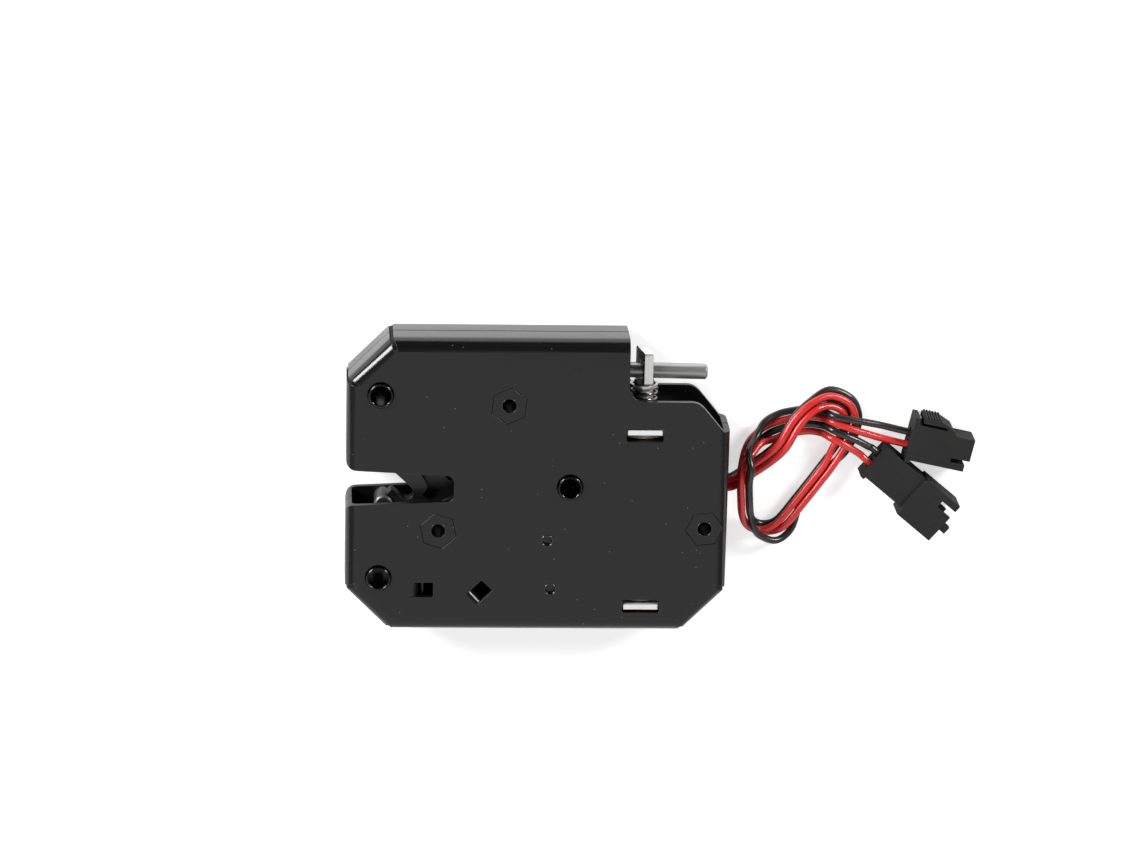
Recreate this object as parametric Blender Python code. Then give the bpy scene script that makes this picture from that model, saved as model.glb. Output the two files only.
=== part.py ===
"""Rotary solenoid lock for a cabinet or locker door.

The lock lies on its rear cover. X runs along the casing with the throat at -X,
Y runs across it with the release rod at +Y, and Z is its depth, from the rear
cover at zero to the front face. All lengths are metres.
"""

import math

import bmesh
import bpy
from mathutils import Matrix, Vector

MM = 0.001

# Fits between pieces
GAP = 0.3 * MM                     # running and resting clearance
PRESS_GAP = 0.15 * MM              # clearance drawn round a pressed-in piece
ARC_STEPS = 6                      # straight steps in a quarter turn of an outline

# Casing
CASE_LENGTH = 73.0 * MM
CASE_WIDTH = 58.0 * MM
CASE_DEPTH = 13.4 * MM
SHEET = 1.2 * MM
BEND_RADIUS = 2.4 * MM             # outside radius of the folded edges
BEND_STEPS = 5
CORNER_CHAMFER = 8.3 * MM
SEAM_GAP = 0.3 * MM
HALF_LENGTH = CASE_LENGTH / 2
HALF_WIDTH = CASE_WIDTH / 2
MIDDLE = CASE_DEPTH / 2
FRONT_INNER = CASE_DEPTH - SHEET
REAR_INNER = SHEET
LONG = 3 * CASE_LENGTH             # longer than anything, for cutters
RELIEF_WIDTH = 0.8 * MM            # corner relief slit between two flanges
RELIEF_DEPTH = 2.6 * MM

# Notch for the plunger and the release rod, at the upper right corner
NOTCH_LENGTH = 19.5 * MM
NOTCH_WIDTH = 12.0 * MM
NOTCH_FILLET = 3.0 * MM
SHOULDER_LENGTH = 6.1 * MM
SHOULDER_DROP = 5.95 * MM          # from the notch to the upper end of the right flange
SHOULDER_FILLET = 3.2 * MM
NOTCH_X = HALF_LENGTH - NOTCH_LENGTH
NOTCH_Y = HALF_WIDTH - NOTCH_WIDTH
SHOULDER_X = HALF_LENGTH - SHOULDER_LENGTH
FLANGE_TOP_Y = NOTCH_Y - SHOULDER_DROP

# Throat for the strike bar
THROAT_Y = -0.4 * MM
THROAT_MOUTH = 7.1 * MM            # height at the wall
THROAT_INNER = 5.1 * MM            # height at the closed end
THROAT_DEPTH = 20.55 * MM
THROAT_END_X = -HALF_LENGTH + THROAT_DEPTH
THROAT_END_RADIUS = 1.5 * MM
THROAT_LEAD_RADIUS = 1.7 * MM
STRIKE_BAR = 2.5 * MM              # bar diameter that the mouth of the hook takes

# Mounting tubes, their insets from the left wall and from the wall above or below
UPPER_TUBE_X = 6.45 * MM
UPPER_TUBE_Y = 10.9 * MM
MIDDLE_TUBE_X = 42.65 * MM
MIDDLE_TUBE_Y = 29.05 * MM
LOWER_TUBE_X = 6.35 * MM
LOWER_TUBE_Y = 10.7 * MM
TUBE_PLACES = {
    "mounting_tube_upper": (-HALF_LENGTH + UPPER_TUBE_X, HALF_WIDTH - UPPER_TUBE_Y),
    "mounting_tube_middle": (-HALF_LENGTH + MIDDLE_TUBE_X, -HALF_WIDTH + MIDDLE_TUBE_Y),
    "mounting_tube_lower": (-HALF_LENGTH + LOWER_TUBE_X, -HALF_WIDTH + LOWER_TUBE_Y),
}
TUBE_BORE = 4.0 * MM
TUBE_NECK = 4.8 * MM
TUBE_BODY = 5.7 * MM
TUBE_PROUD = 0.8 * MM              # stands out of the front face

# Standoffs: hexagon head pressed into the front sheet, round shank inside
LEVER_PIVOT_X = 30.8 * MM           # from the left wall
LEVER_PIVOT_Y = 12.9 * MM           # from the upper wall
HOOK_PIVOT_X = 17.65 * MM           # from the left wall
HOOK_PIVOT_DROP = 8.4 * MM          # below the middle of the throat
RIGHT_POST_X = 4.45 * MM            # from the right wall
RIGHT_POST_Y = -8.15 * MM
LEVER_PIVOT = (-HALF_LENGTH + LEVER_PIVOT_X, HALF_WIDTH - LEVER_PIVOT_Y)
HOOK_PIVOT = (-HALF_LENGTH + HOOK_PIVOT_X, THROAT_Y - HOOK_PIVOT_DROP)
RIGHT_POST = (HALF_LENGTH - RIGHT_POST_X, RIGHT_POST_Y)
HEX_PLACES = (                     # place and turn of each head
    (LEVER_PIVOT, math.radians(24.0)),
    (HOOK_PIVOT, math.radians(42.0)),
    (RIGHT_POST, math.radians(6.0)),
)
HEX_ACROSS_CORNERS = 7.1 * MM
SHANK_DIAMETER = 4.3 * MM
SHANK_HOLE = SHANK_DIAMETER / 2 + GAP
BUSH_WALL = 1.1 * MM
THREAD_BORE = 2.7 * MM
SCREW_SHANK = 2.0 * MM
SCREW_HEAD = 4.9 * MM
SCREW_LENGTH = 6.0 * MM
SCREW_RECESS = 2.6 * MM
SCREW_RECESS_SLOT = 0.6 * MM

# Stop post below the throat
POST_X = 7.3 * MM                   # from the left wall
POST_DROP = 5.1 * MM                # below the middle of the throat
POST_PLACE = (-HALF_LENGTH + POST_X, THROAT_Y - POST_DROP)
POST_DIAMETER = 3.6 * MM
POST_LENGTH = 6.1 * MM
POST_BORE = 2.4 * MM
POST_RIVET = 2.2 * MM

# Hook, drawn closed and turned back to its open rest position
HOOK_TRAVEL = math.radians(47.0)
HOOK_DROP = 2.7 * MM                # underside below the casing's middle
HOOK_LOW = MIDDLE - HOOK_DROP
HOOK_THICK = 3.0 * MM
HOOK_HUB = 4.8 * MM                # radius of the hub
MOUTH_REACH = 8.2 * MM             # pivot to the middle of the caught bar
MOUTH_WIDTH = STRIKE_BAR + GAP
JAW_REACH = 10.8 * MM
SECTOR_RADIUS = 15.0 * MM          # outer edge on which the nose rides
SECTOR_START = math.radians(38.0)
SECTOR_INNER = 11.4 * MM
FINGER_WIDTH = 6.4 * MM
ARM_REACH = 11.5 * MM              # pivot to the switch pin
ARM_ANGLE = math.radians(7.0)
ARM_WIDTH = 4.0 * MM
SPRING_EYE_REACH = 6.95 * MM
FINGER_PLATE_THICK = 1.5 * MM
FINGER_PLATE_START = 6.1 * MM      # ends of the second plate, from the pivot
FINGER_PLATE_END = 14.3 * MM
FINGER_RIVET = (3.8 * MM, 13.1 * MM)
RIVET_SHANK = 1.6 * MM
SWITCH_PIN = 2.3 * MM
SWITCH_PIN_SPACE = 1.9 * MM         # from the pin's top to the front sheet
SWITCH_PIN_TOP = FRONT_INNER - SWITCH_PIN_SPACE

# Hook spring: torsion spring round the hook's standoff
SPRING_WIRE = 0.8 * MM
SPRING_RADIUS = 3.35 * MM
SPRING_SPACE = 1.0 * MM             # from the hook and from the front sheet to the wire's middle
SPRING_PITCH = 1.05 * MM
SPRING_LOW = HOOK_LOW + HOOK_THICK + SPRING_SPACE
SPRING_HIGH = FRONT_INNER - SPRING_SPACE
SPRING_TURNS = int((SPRING_HIGH - SPRING_LOW) / SPRING_PITCH)

# Spring tabs lanced out of the front sheet
TAB_WIDTH = 2.7 * MM
TAB_BEND = 1.5 * MM                # outside radius of the tab's fold
TAB_REACH = 3.8 * MM               # depth of the tab below the face
LANCE_LENGTH = 4.3 * MM
LANCE_WIDTH = 2.95 * MM
TAB_X = 12.55 * MM                  # from the left wall
TAB_Y = 8.32 * MM                   # from the lower wall
SPARE_TAB_X = 24.1 * MM
SPARE_TAB_Y = 6.25 * MM
TAB_ROOTS = (
    (-HALF_LENGTH + TAB_X, -HALF_WIDTH + TAB_Y, 0.0),
    (-HALF_LENGTH + SPARE_TAB_X, -HALF_WIDTH + SPARE_TAB_Y, math.radians(45.0)),
)

# Release lever with the locking nose
LEVER_DROP = 2.3 * MM               # underside below the casing's middle
LEVER_LOW = MIDDLE - LEVER_DROP
LEVER_THICK = 2.2 * MM
LEVER_HUB = 4.4 * MM
NOSE_START = math.radians(86.6)    # angles seen from the hook's pivot
NOSE_END = math.radians(94.0)
EAR_REACH = 17.2 * MM              # pivot to the outer face of the ear
EAR_WIDTH = 5.0 * MM
EAR_RISE = 2.7 * MM                 # above the rod's axis
EAR_TOP = MIDDLE + EAR_RISE
EAR_SOCKET = 1.9 * MM

# Release rod
ROD_DIAMETER = 3.0 * MM
ROD_END_SPACE = 4.3 * MM            # the rod ends this far short of the right wall
ROD_END_X = HALF_LENGTH - ROD_END_SPACE
ROD_CHAMFER = 0.35 * MM
ROD_SPIGOT = 2.0 * MM
ROD_TILT = math.radians(-0.9)
ROD_RISE = 4.5 * MM                 # axis above the notch, where it crosses the blade
ROD_Y = NOTCH_Y + ROD_RISE

# Solenoid, its axis parallel to Y
COIL_SPACE = 16.3 * MM              # axis from the right wall
FRAME_TOP_SPACE = 5.6 * MM          # from the notch
FRAME_BOTTOM_SPACE = 4.5 * MM       # from the lower wall
COIL_X = HALF_LENGTH - COIL_SPACE
FRAME_TOP_Y = NOTCH_Y - FRAME_TOP_SPACE
FRAME_BOTTOM_Y = -HALF_WIDTH + FRAME_BOTTOM_SPACE
FRAME_SHEET = 0.95 * MM
BOBBIN_SPACE = 0.4 * MM             # from the bobbin's flanges to the shells
FRAME_SPACE = 0.35 * MM             # from the bobbin's flanges to the frame
BOBBIN_FLANGE = FRONT_INNER - REAR_INNER - 2 * BOBBIN_SPACE
FRAME_WIDTH = BOBBIN_FLANGE + 2 * (FRAME_SHEET + FRAME_SPACE)
FRAME_BEND = 1.5 * MM
FRAME_TAB = 6.55 * MM
TAB_SINK = 0.15 * MM               # the tabs end this far below the faces
SLOT_WIDTH = 7.05 * MM
SLOT_HEIGHT = 2.6 * MM
SLOT_OFFSETS = (-0.55 * MM, 0.2 * MM)
BOBBIN_WALL = 0.5 * MM
BOBBIN_FLANGE_THICK = 0.8 * MM
WINDING_LIP = 0.1 * MM
WINDING_DIAMETER = BOBBIN_FLANGE - 2 * WINDING_LIP
WINDING_DEPTH = 1.15 * MM
PLUNGER_BODY = WINDING_DIAMETER - 2 * (WINDING_DEPTH + PRESS_GAP + BOBBIN_WALL + GAP)
PLUNGER_STEP = 1.0 * MM
PLUNGER_NECK = PLUNGER_BODY - 2 * PLUNGER_STEP
PLUNGER_TRAVEL = 2.7 * MM
PLUNGER_SEAT = 0.4 * MM             # left open between plunger and core when pulled in
PLUNGER_SPACE = 5.1 * MM            # from the frame's upper plate to the shoulder
CORE_LENGTH = 11.2 * MM
CORE_TOP_Y = FRAME_BOTTOM_Y + CORE_LENGTH
PLUNGER_LOW_Y = CORE_TOP_Y + PLUNGER_TRAVEL + PLUNGER_SEAT
PLUNGER_SHOULDER_Y = FRAME_TOP_Y - PLUNGER_SPACE
BLADE_THICK = 1.7 * MM
BLADE_WIDTH = 6.5 * MM
BLADE_RISE = 2.3 * MM               # lower end above the notch
BLADE_LENGTH = 6.3 * MM
BLADE_BOTTOM_Y = NOTCH_Y + BLADE_RISE
BLADE_TOP_Y = BLADE_BOTTOM_Y + BLADE_LENGTH
BLADE_TURN = math.radians(11.0)
BLADE_HOLE = 4.0 * MM
RETURN_WIRE = 0.5 * MM
RETURN_DIAMETER = PLUNGER_NECK + 2 * (RETURN_WIRE + GAP)
WASHER_LIP = 0.05 * MM
WASHER_DIAMETER = RETURN_DIAMETER + 2 * WASHER_LIP
WASHER_THICK = 0.6 * MM
RETURN_TURNS = 6
CORE_RIVET = 2.8 * MM

# Micro switch, turned a little in its place on the two pressed pips
UPPER_PIP_X = 38.5 * MM             # from the left wall
UPPER_PIP_Y = 18.3 * MM             # from the lower wall
LOWER_PIP_X = 39.27 * MM
LOWER_PIP_Y = 8.54 * MM
PIP_PLACES = (
    (-HALF_LENGTH + UPPER_PIP_X, -HALF_WIDTH + UPPER_PIP_Y),
    (-HALF_LENGTH + LOWER_PIP_X, -HALF_WIDTH + LOWER_PIP_Y),
)
PIP_DIAMETER = 2.0 * MM
PIP_HEIGHT = 1.2 * MM
PIP_RECESS = 0.85 * MM
SWITCH_LEFT = -6.6 * MM
SWITCH_RIGHT = 3.0 * MM
SWITCH_HALF = 9.9 * MM
SWITCH_THICK = 6.1 * MM
SWITCH_HIGH = FRONT_INNER - GAP
SWITCH_LOW = SWITCH_HIGH - SWITCH_THICK
STRIP_THICK = 0.4 * MM
STRIP_WIDTH = 3.0 * MM
STRIP_LENGTH = 19.4 * MM
STRIP_HINGE = (-7.4 * MM, -8.9 * MM)
STRIP_LEAN = math.radians(5.6)
STRIP_FOOT = 1.7 * MM
BUTTON_DIAMETER = 1.6 * MM
BUTTON_Y = -2.6 * MM
BUTTON_LENGTH = 3.1 * MM
TERMINAL_THICK = 0.5 * MM
TERMINAL_WIDTH = 3.2 * MM
TERMINAL_LENGTH = 3.9 * MM
TERMINAL_SEAT = 1.5 * MM
TERMINAL_HOLE = 1.2 * MM
TERMINAL_PLACES = {
    "terminal_common": -8.0 * MM,
    "terminal_open": 0.6 * MM,
    "terminal_closed": 8.6 * MM,
}

# Leads: two pairs, through one opening in the rear half's right flange
EXIT_Y = -1.7 * MM
EXIT_WIDTH = 3.7 * MM
EXIT_LOW = 2.4 * MM
LEAD_DIAMETER = 1.4 * MM
LEAD_STEP = 2.4 * MM               # length between the points of a lead

# Plugs on the leads' ends, lying on the surface beside the lock
PLUG_PLACE = (71.8 * MM, 7.2 * MM)
PLUG_TURN = math.radians(-12.0)
SOCKET_PLACE = (65.25 * MM, 3.2 * MM)
SOCKET_TURN = math.radians(-40.0)
CONTACT_PITCH = 2.5 * MM
CAVITY_DIAMETER = 2.1 * MM
CONTACT_DIAMETER = 1.5 * MM
PIN_DIAMETER = 1.0 * MM
CAVITY_DEPTH = 3.0 * MM            # how far a lead goes in
CONTACT_HEIGHT = 3.1 * MM

PLUG_WIDTH = 7.2 * MM
PLUG_HEIGHT = 5.9 * MM
PLUG_BODY = 8.6 * MM
PLUG_LENGTH = 12.3 * MM
PLUG_FLANGE = 1.0 * MM
PLUG_LATCH_GAP = 0.6 * MM
PLUG_LATCH_THICK = 1.0 * MM
PLUG_LATCH_START = 1.7 * MM
PLUG_LATCH_PAD = 3.4 * MM
PLUG_RIBS = 6
PLUG_RIB_HEIGHT = 0.3 * MM
PLUG_SLOT = 0.9 * MM
PLUG_TONGUE = 4.4 * MM
PLUG_SOCKET = 1.2 * MM              # openings in the nose
PLUG_SOCKET_DEPTH = 2.4 * MM
PLUG_LIP = 0.5 * MM                 # the flange stands out this far
PLUG_NOSE_STEP = 0.6 * MM
PLUG_NOSE_SHORT = 0.8 * MM
PLUG_LATCH_ROOT = (2.2 * MM, 1.9 * MM)
PLUG_CONTACT = (2.4 * MM, 1.2 * MM)  # lengths of barrel and front

SOCKET_WIDTH = 7.2 * MM
SOCKET_HEIGHT = 5.6 * MM
SOCKET_BODY = 10.2 * MM
SOCKET_LENGTH = 18.6 * MM
SHROUD_SIDES = (-5.0 * MM, 4.0 * MM)
SHROUD_HEIGHT = 6.4 * MM
SHROUD_WALL = 0.9 * MM
SHROUD_DEPTH = 7.4 * MM
RAIL_WIDTH = 1.4 * MM
RAIL_GAP = 1.5 * MM
RAIL_LENGTH = 3.4 * MM
LUG_LENGTH = 1.4 * MM
LUG_SIDES = (-2.1 * MM, -0.5 * MM)
LUG_DEPTH = 2.0 * MM
SOCKET_LIP = (0.5 * MM, 0.8 * MM)   # height and length
SOCKET_CONTACT = (5.5 * MM, 7.0 * MM)

# Finishes: colour, roughness, metallic
BLACK_PAINT = ((0.028, 0.028, 0.029), 0.42, 0.0)
ZINC = ((0.62, 0.62, 0.60), 0.38, 1.0)
NICKEL = ((0.78, 0.77, 0.74), 0.25, 1.0)
STEEL = ((0.46, 0.46, 0.45), 0.35, 1.0)
DARK_STEEL = ((0.10, 0.10, 0.10), 0.45, 1.0)
SPRING_STEEL = ((0.55, 0.55, 0.53), 0.3, 1.0)
COPPER_TAPE = ((0.33, 0.10, 0.03), 0.5, 0.2)
WHITE_NYLON = ((0.72, 0.71, 0.66), 0.5, 0.0)
BLACK_PLASTIC = ((0.02, 0.02, 0.021), 0.5, 0.0)
BRASS = ((0.70, 0.50, 0.20), 0.3, 1.0)
TINNED = ((0.75, 0.75, 0.73), 0.3, 1.0)
RED_PVC = ((0.62, 0.02, 0.02), 0.35, 0.0)
BLACK_PVC = ((0.02, 0.02, 0.02), 0.4, 0.0)


# Outlines

def arc(centre, radius, start, end, steps=None):
    """Points of an arc round centre, from angle start to angle end."""
    if steps is None:
        steps = max(2, math.ceil(abs(end - start) / (math.pi / 2) * ARC_STEPS))
    points = []
    for step in range(steps + 1):
        angle = start + (end - start) * step / steps
        points.append((centre[0] + radius * math.cos(angle), centre[1] + radius * math.sin(angle)))
    return points


def circle(centre, radius, count=24):
    """Points of a whole circle."""
    return arc(centre, radius, 0.0, 2 * math.pi, count)[:-1]


def rounded(corners):
    """Closed outline from (x, y) or (x, y, radius) corners, with the radii as arcs."""
    points = []
    for index, corner in enumerate(corners):
        here = Vector(corner[:2])
        radius = corner[2] if len(corner) > 2 else 0.0
        before = (Vector(corners[index - 1][:2]) - here).normalized()
        after = (Vector(corners[(index + 1) % len(corners)][:2]) - here).normalized()
        if radius <= 0.0:
            points.append(tuple(here))
            continue
        half = before.angle(after) / 2
        centre = here + (before + after).normalized() * (radius / math.sin(half))
        first = here + before * (radius / math.tan(half)) - centre
        last = here + after * (radius / math.tan(half)) - centre
        start = math.atan2(first.y, first.x)
        turn = math.atan2(first.x * last.y - first.y * last.x, first.dot(last))
        points.extend(arc(centre, radius, start, start + turn))
    return points


def rectangle(x_low, y_low, x_high, y_high, radius=0.0):
    """Outline of a rectangle, with rounded corners if radius is above zero."""
    return rounded([(x_low, y_low, radius), (x_high, y_low, radius),
                    (x_high, y_high, radius), (x_low, y_high, radius)])


def hexagon(centre, radius, turn):
    """Outline of a hexagon with a corner at the angle turn."""
    return [(centre[0] + radius * math.cos(turn + k * math.pi / 3),
             centre[1] + radius * math.sin(turn + k * math.pi / 3)) for k in range(6)]


def turned_outline(points, angle, centre=(0.0, 0.0)):
    """The outline turned by angle about the origin and moved to centre."""
    cos, sin = math.cos(angle), math.sin(angle)
    return [(centre[0] + x * cos - y * sin, centre[1] + x * sin + y * cos) for x, y in points]


def inset(points, distance):
    """A convex counter-clockwise outline moved inwards by distance."""
    result = []
    count = len(points)
    for index in range(count):
        before = Vector(points[index - 1])
        here = Vector(points[index])
        after = Vector(points[(index + 1) % count])
        first = (here - before).normalized()
        second = (after - here).normalized()
        first_normal = Vector((-first.y, first.x))
        second_normal = Vector((-second.y, second.x))
        mitre = (first_normal + second_normal).normalized()
        result.append(tuple(here + mitre * (distance / mitre.dot(first_normal))))
    return result


# Solids as bmesh

def loft(rings):
    """A closed solid through rings of equally many points, capped at both ends."""
    bm = bmesh.new()
    rows = [[bm.verts.new(point) for point in ring] for ring in rings]
    for low, high in zip(rows, rows[1:]):
        for index in range(len(low)):
            following = (index + 1) % len(low)
            bm.faces.new((low[index], low[following], high[following], high[index]))
    bm.faces.new(rows[0])
    bm.faces.new(rows[-1])
    bmesh.ops.recalc_face_normals(bm, faces=bm.faces)
    return bm


def prism(outline, low, high, holes=()):
    """An outline with holes, filled and extruded along Z from low to high."""
    bm = bmesh.new()
    for loop in (outline, *holes):
        verts = [bm.verts.new((x, y, low)) for x, y in loop]
        for index, vert in enumerate(verts):
            bm.edges.new((verts[index - 1], vert))
    bmesh.ops.triangle_fill(bm, use_beauty=True, use_dissolve=False, edges=bm.edges)
    lifted = bmesh.ops.extrude_face_region(bm, geom=bm.faces[:])
    verts = [item for item in lifted["geom"] if isinstance(item, bmesh.types.BMVert)]
    bmesh.ops.translate(bm, vec=(0.0, 0.0, high - low), verts=verts)
    bmesh.ops.recalc_face_normals(bm, faces=bm.faces)
    return bm


def revolve(profile, count=24):
    """A profile of (radius, height) points turned about Z.

    A profile that starts and ends on the axis gives a solid; one that doesn't is
    closed on itself and gives a ring.
    """
    bm = bmesh.new()
    solid = profile[0][0] == 0.0 and profile[-1][0] == 0.0
    rows = []
    for radius, height in profile:
        if radius == 0.0:
            rows.append([bm.verts.new((0.0, 0.0, height))])
            continue
        rows.append([bm.verts.new((radius * math.cos(2 * math.pi * k / count),
                                   radius * math.sin(2 * math.pi * k / count), height))
                     for k in range(count)])
    pairs = list(zip(rows, rows[1:]))
    if not solid:
        pairs.append((rows[-1], rows[0]))
    for low, high in pairs:
        for k in range(count):
            following = (k + 1) % count
            corners = (low[k % len(low)], low[following % len(low)],
                       high[following % len(high)], high[k % len(high)])
            bm.faces.new(tuple(dict.fromkeys(corners)))
    bmesh.ops.recalc_face_normals(bm, faces=bm.faces)
    return bm


def box(low, high):
    """A plain box between two corners."""
    return prism(rectangle(low[0], low[1], high[0], high[1]), low[2], high[2])


def moved(bm, matrix):
    """The solid after a transform."""
    bmesh.ops.transform(bm, matrix=matrix, verts=bm.verts)
    return bm


def shifted(bm, x, y, z=0.0):
    """The solid moved to a place."""
    return moved(bm, Matrix.Translation((x, y, z)))


def merged(solids):
    """Several separate solids in one bmesh, for a cutter."""
    whole = bmesh.new()
    for bm in solids:
        mesh = bpy.data.meshes.new("island")
        bm.to_mesh(mesh)
        bm.free()
        whole.from_mesh(mesh)
        bpy.data.meshes.remove(mesh)
    return whole


# Axes: a solid drawn along Z is turned to lie along Y or X
ALONG_Y = Matrix.Rotation(math.radians(-90.0), 4, "X")
ALONG_X = Matrix.Rotation(math.radians(90.0), 4, "Y")


# Objects

def material(name, finish):
    """A Principled material of one finish."""
    made = bpy.data.materials.new(name)
    made.use_nodes = True
    shader = made.node_tree.nodes["Principled BSDF"]
    colour, roughness, metallic = finish
    shader.inputs["Base Color"].default_value = (*colour, 1.0)
    shader.inputs["Roughness"].default_value = roughness
    shader.inputs["Metallic"].default_value = metallic
    made.diffuse_color = (*colour, 1.0)
    return made


def add(name, bm, finish, origin=(0.0, 0.0, 0.0), smooth=30.0):
    """A named object from a solid in world places, with its origin at a joint's axis."""
    bmesh.ops.translate(bm, vec=-Vector(origin), verts=bm.verts)
    mesh = bpy.data.meshes.new(name)
    bm.to_mesh(mesh)
    bm.free()
    mesh.shade_smooth()
    mesh.set_sharp_from_angle(angle=math.radians(smooth))
    obj = bpy.data.objects.new(name, mesh)
    obj.location = origin
    obj.data.materials.append(material(name + "_finish", finish))
    bpy.context.scene.collection.objects.link(obj)
    return obj


def helper(name, bm):
    """A cutter or a shape to be joined on, hidden from the render."""
    mesh = bpy.data.meshes.new(name)
    bm.to_mesh(mesh)
    bm.free()
    obj = bpy.data.objects.new(name, mesh)
    obj.hide_render = True
    obj.display_type = "WIRE"
    bpy.context.scene.collection.objects.link(obj)
    return obj


def combine(obj, bm, operation):
    """Cut a solid out of an object, or join it on, with an exact Boolean."""
    tool = helper(f"{obj.name}_{operation.lower()}", bm)
    boolean = obj.modifiers.new(operation.title(), "BOOLEAN")
    boolean.operation = operation
    boolean.solver = "EXACT"
    boolean.object = tool


def cut(obj, *solids):
    """Cut holes out of an object."""
    combine(obj, merged(solids), "DIFFERENCE")


def join(obj, *solids):
    """Join bosses and tabs on to an object."""
    combine(obj, merged(solids), "UNION")


def wire(name, points, diameter, finish, origin=(0.0, 0.0, 0.0), resolution=2):
    """A round wire along points, as a bevelled curve with closed ends."""
    curve = bpy.data.curves.new(name, "CURVE")
    curve.dimensions = "3D"
    curve.bevel_depth = diameter / 2
    curve.bevel_resolution = resolution
    curve.use_fill_caps = True
    spline = curve.splines.new("POLY")
    spline.points.add(len(points) - 1)
    for item, point in zip(spline.points, points):
        item.co = (*(Vector(point) - Vector(origin)), 1.0)
    spline.use_smooth = True
    obj = bpy.data.objects.new(name, curve)
    obj.location = origin
    curve.materials.append(material(name + "_finish", finish))
    bpy.context.scene.collection.objects.link(obj)
    return obj


# Casing

def case_outline():
    """The casing's outline with three cut corners, counter-clockwise."""
    x, y, c = HALF_LENGTH, HALF_WIDTH, CORNER_CHAMFER
    return [(x, y), (-x + c, y), (-x, y - c), (-x, -y + c), (-x + c, -y), (x - c, -y), (x, -y + c)]


def folded_shell(front):
    """One half of the casing: a face with flanges folded round it on a bend radius."""
    outline = case_outline()
    seam = MIDDLE + SEAM_GAP / 2
    bend_start = CASE_DEPTH - BEND_RADIUS
    inner_radius = BEND_RADIUS - SHEET
    layers = []
    for radius, offset in ((inner_radius, SHEET), (BEND_RADIUS, 0.0)):
        stack = [(offset, seam)]
        for step in range(BEND_STEPS + 1):
            angle = math.pi / 2 * step / BEND_STEPS
            stack.append((offset + radius * (1 - math.cos(angle)),
                          bend_start + radius * math.sin(angle)))
        layers.append(stack)
    rings = []
    for offset, height in layers[0][::-1] + layers[1]:
        depth = height if front else CASE_DEPTH - height
        rings.append([(x, y, depth) for x, y in inset(outline, offset)])
    return loft(rings)


def through(outline):
    """A cutter that passes through the whole casing."""
    return prism(outline, -CASE_DEPTH, 2 * CASE_DEPTH)


def notch_cut():
    """Takes the upper right corner away, for the plunger and the rod."""
    return through(rounded([
        (NOTCH_X, LONG), (NOTCH_X, NOTCH_Y, NOTCH_FILLET),
        (SHOULDER_X, NOTCH_Y, SHOULDER_FILLET),
        (HALF_LENGTH - SHEET, FLANGE_TOP_Y), (LONG, FLANGE_TOP_Y), (LONG, LONG)]))


def throat_cut():
    """The tapering slot for the strike bar, with a rounded lead at the wall."""
    wall = -HALF_LENGTH - 0.02 * MM
    far = wall - CASE_DEPTH
    mouth, inner = THROAT_MOUTH / 2, THROAT_INNER / 2
    lead = mouth + THROAT_LEAD_RADIUS * 1.2
    return through(rounded([
        (far, THROAT_Y - lead), (wall, THROAT_Y - lead), (wall, THROAT_Y - mouth, THROAT_LEAD_RADIUS),
        (THROAT_END_X, THROAT_Y - inner, THROAT_END_RADIUS),
        (THROAT_END_X, THROAT_Y + inner, THROAT_END_RADIUS),
        (wall, THROAT_Y + mouth, THROAT_LEAD_RADIUS), (wall, THROAT_Y + lead), (far, THROAT_Y + lead)]))


def relief_cuts():
    """A round-ended slit across each folded corner."""
    outline = case_outline()
    cutters = []
    for index in range(1, len(outline)):
        before = Vector(outline[index - 1])
        here = Vector(outline[index])
        after = Vector(outline[(index + 1) % len(outline)])
        inward = ((before - here).normalized() + (after - here).normalized()).normalized()
        slit = rectangle(-RELIEF_WIDTH, -RELIEF_WIDTH / 2, RELIEF_DEPTH, RELIEF_WIDTH / 2,
                         RELIEF_WIDTH * 0.49)
        cutters.append(through(turned_outline(slit, math.atan2(inward.y, inward.x), here)))
    return cutters


def slot_cuts():
    """Two slots for the tabs of the solenoid's frame."""
    cutters = []
    for plate, offset in zip((FRAME_TOP_Y - FRAME_SHEET / 2, FRAME_BOTTOM_Y + FRAME_SHEET / 2),
                             SLOT_OFFSETS):
        middle = plate + offset
        cutters.append(through(rectangle(COIL_X - SLOT_WIDTH / 2, middle - SLOT_HEIGHT / 2,
                                         COIL_X + SLOT_WIDTH / 2, middle + SLOT_HEIGHT / 2, 0.3 * MM)))
    return cutters


def lead_exit_cut():
    """The notch for the four leads in the rear half's right flange, open at the seam."""
    return box((HALF_LENGTH - 2 * SHEET, EXIT_Y - EXIT_WIDTH / 2, EXIT_LOW),
               (HALF_LENGTH + SHEET, EXIT_Y + EXIT_WIDTH / 2, MIDDLE))


def shared_cuts():
    """What both shells have: notch, throat, reliefs, slots and tube bores."""
    cutters = [notch_cut(), throat_cut(), *relief_cuts(), *slot_cuts()]
    for place in TUBE_PLACES.values():
        cutters.append(through(circle(place, TUBE_NECK / 2 + PRESS_GAP)))
    return cutters


def lanced_tab(root_x, root_y, turn):
    """A spring tab folded inwards from the front sheet, drawn in its own X and depth."""
    inner = TAB_BEND - SHEET
    centre = (0.0, CASE_DEPTH - TAB_BEND)
    tip = CASE_DEPTH - TAB_REACH
    side = [(-0.4 * MM, FRONT_INNER)]
    side += arc(centre, inner, math.pi / 2, 0.0)
    side += [(inner, tip), (TAB_BEND, tip)]
    side += arc(centre, TAB_BEND, 0.0, math.pi / 2)
    side += [(-0.4 * MM, CASE_DEPTH)]
    tab = prism(side, -TAB_WIDTH / 2, TAB_WIDTH / 2)
    moved(tab, Matrix.Rotation(math.pi / 2, 4, "X"))
    return moved(tab, Matrix.Translation((root_x, root_y, 0.0)) @ Matrix.Rotation(turn, 4, "Z"))


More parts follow.
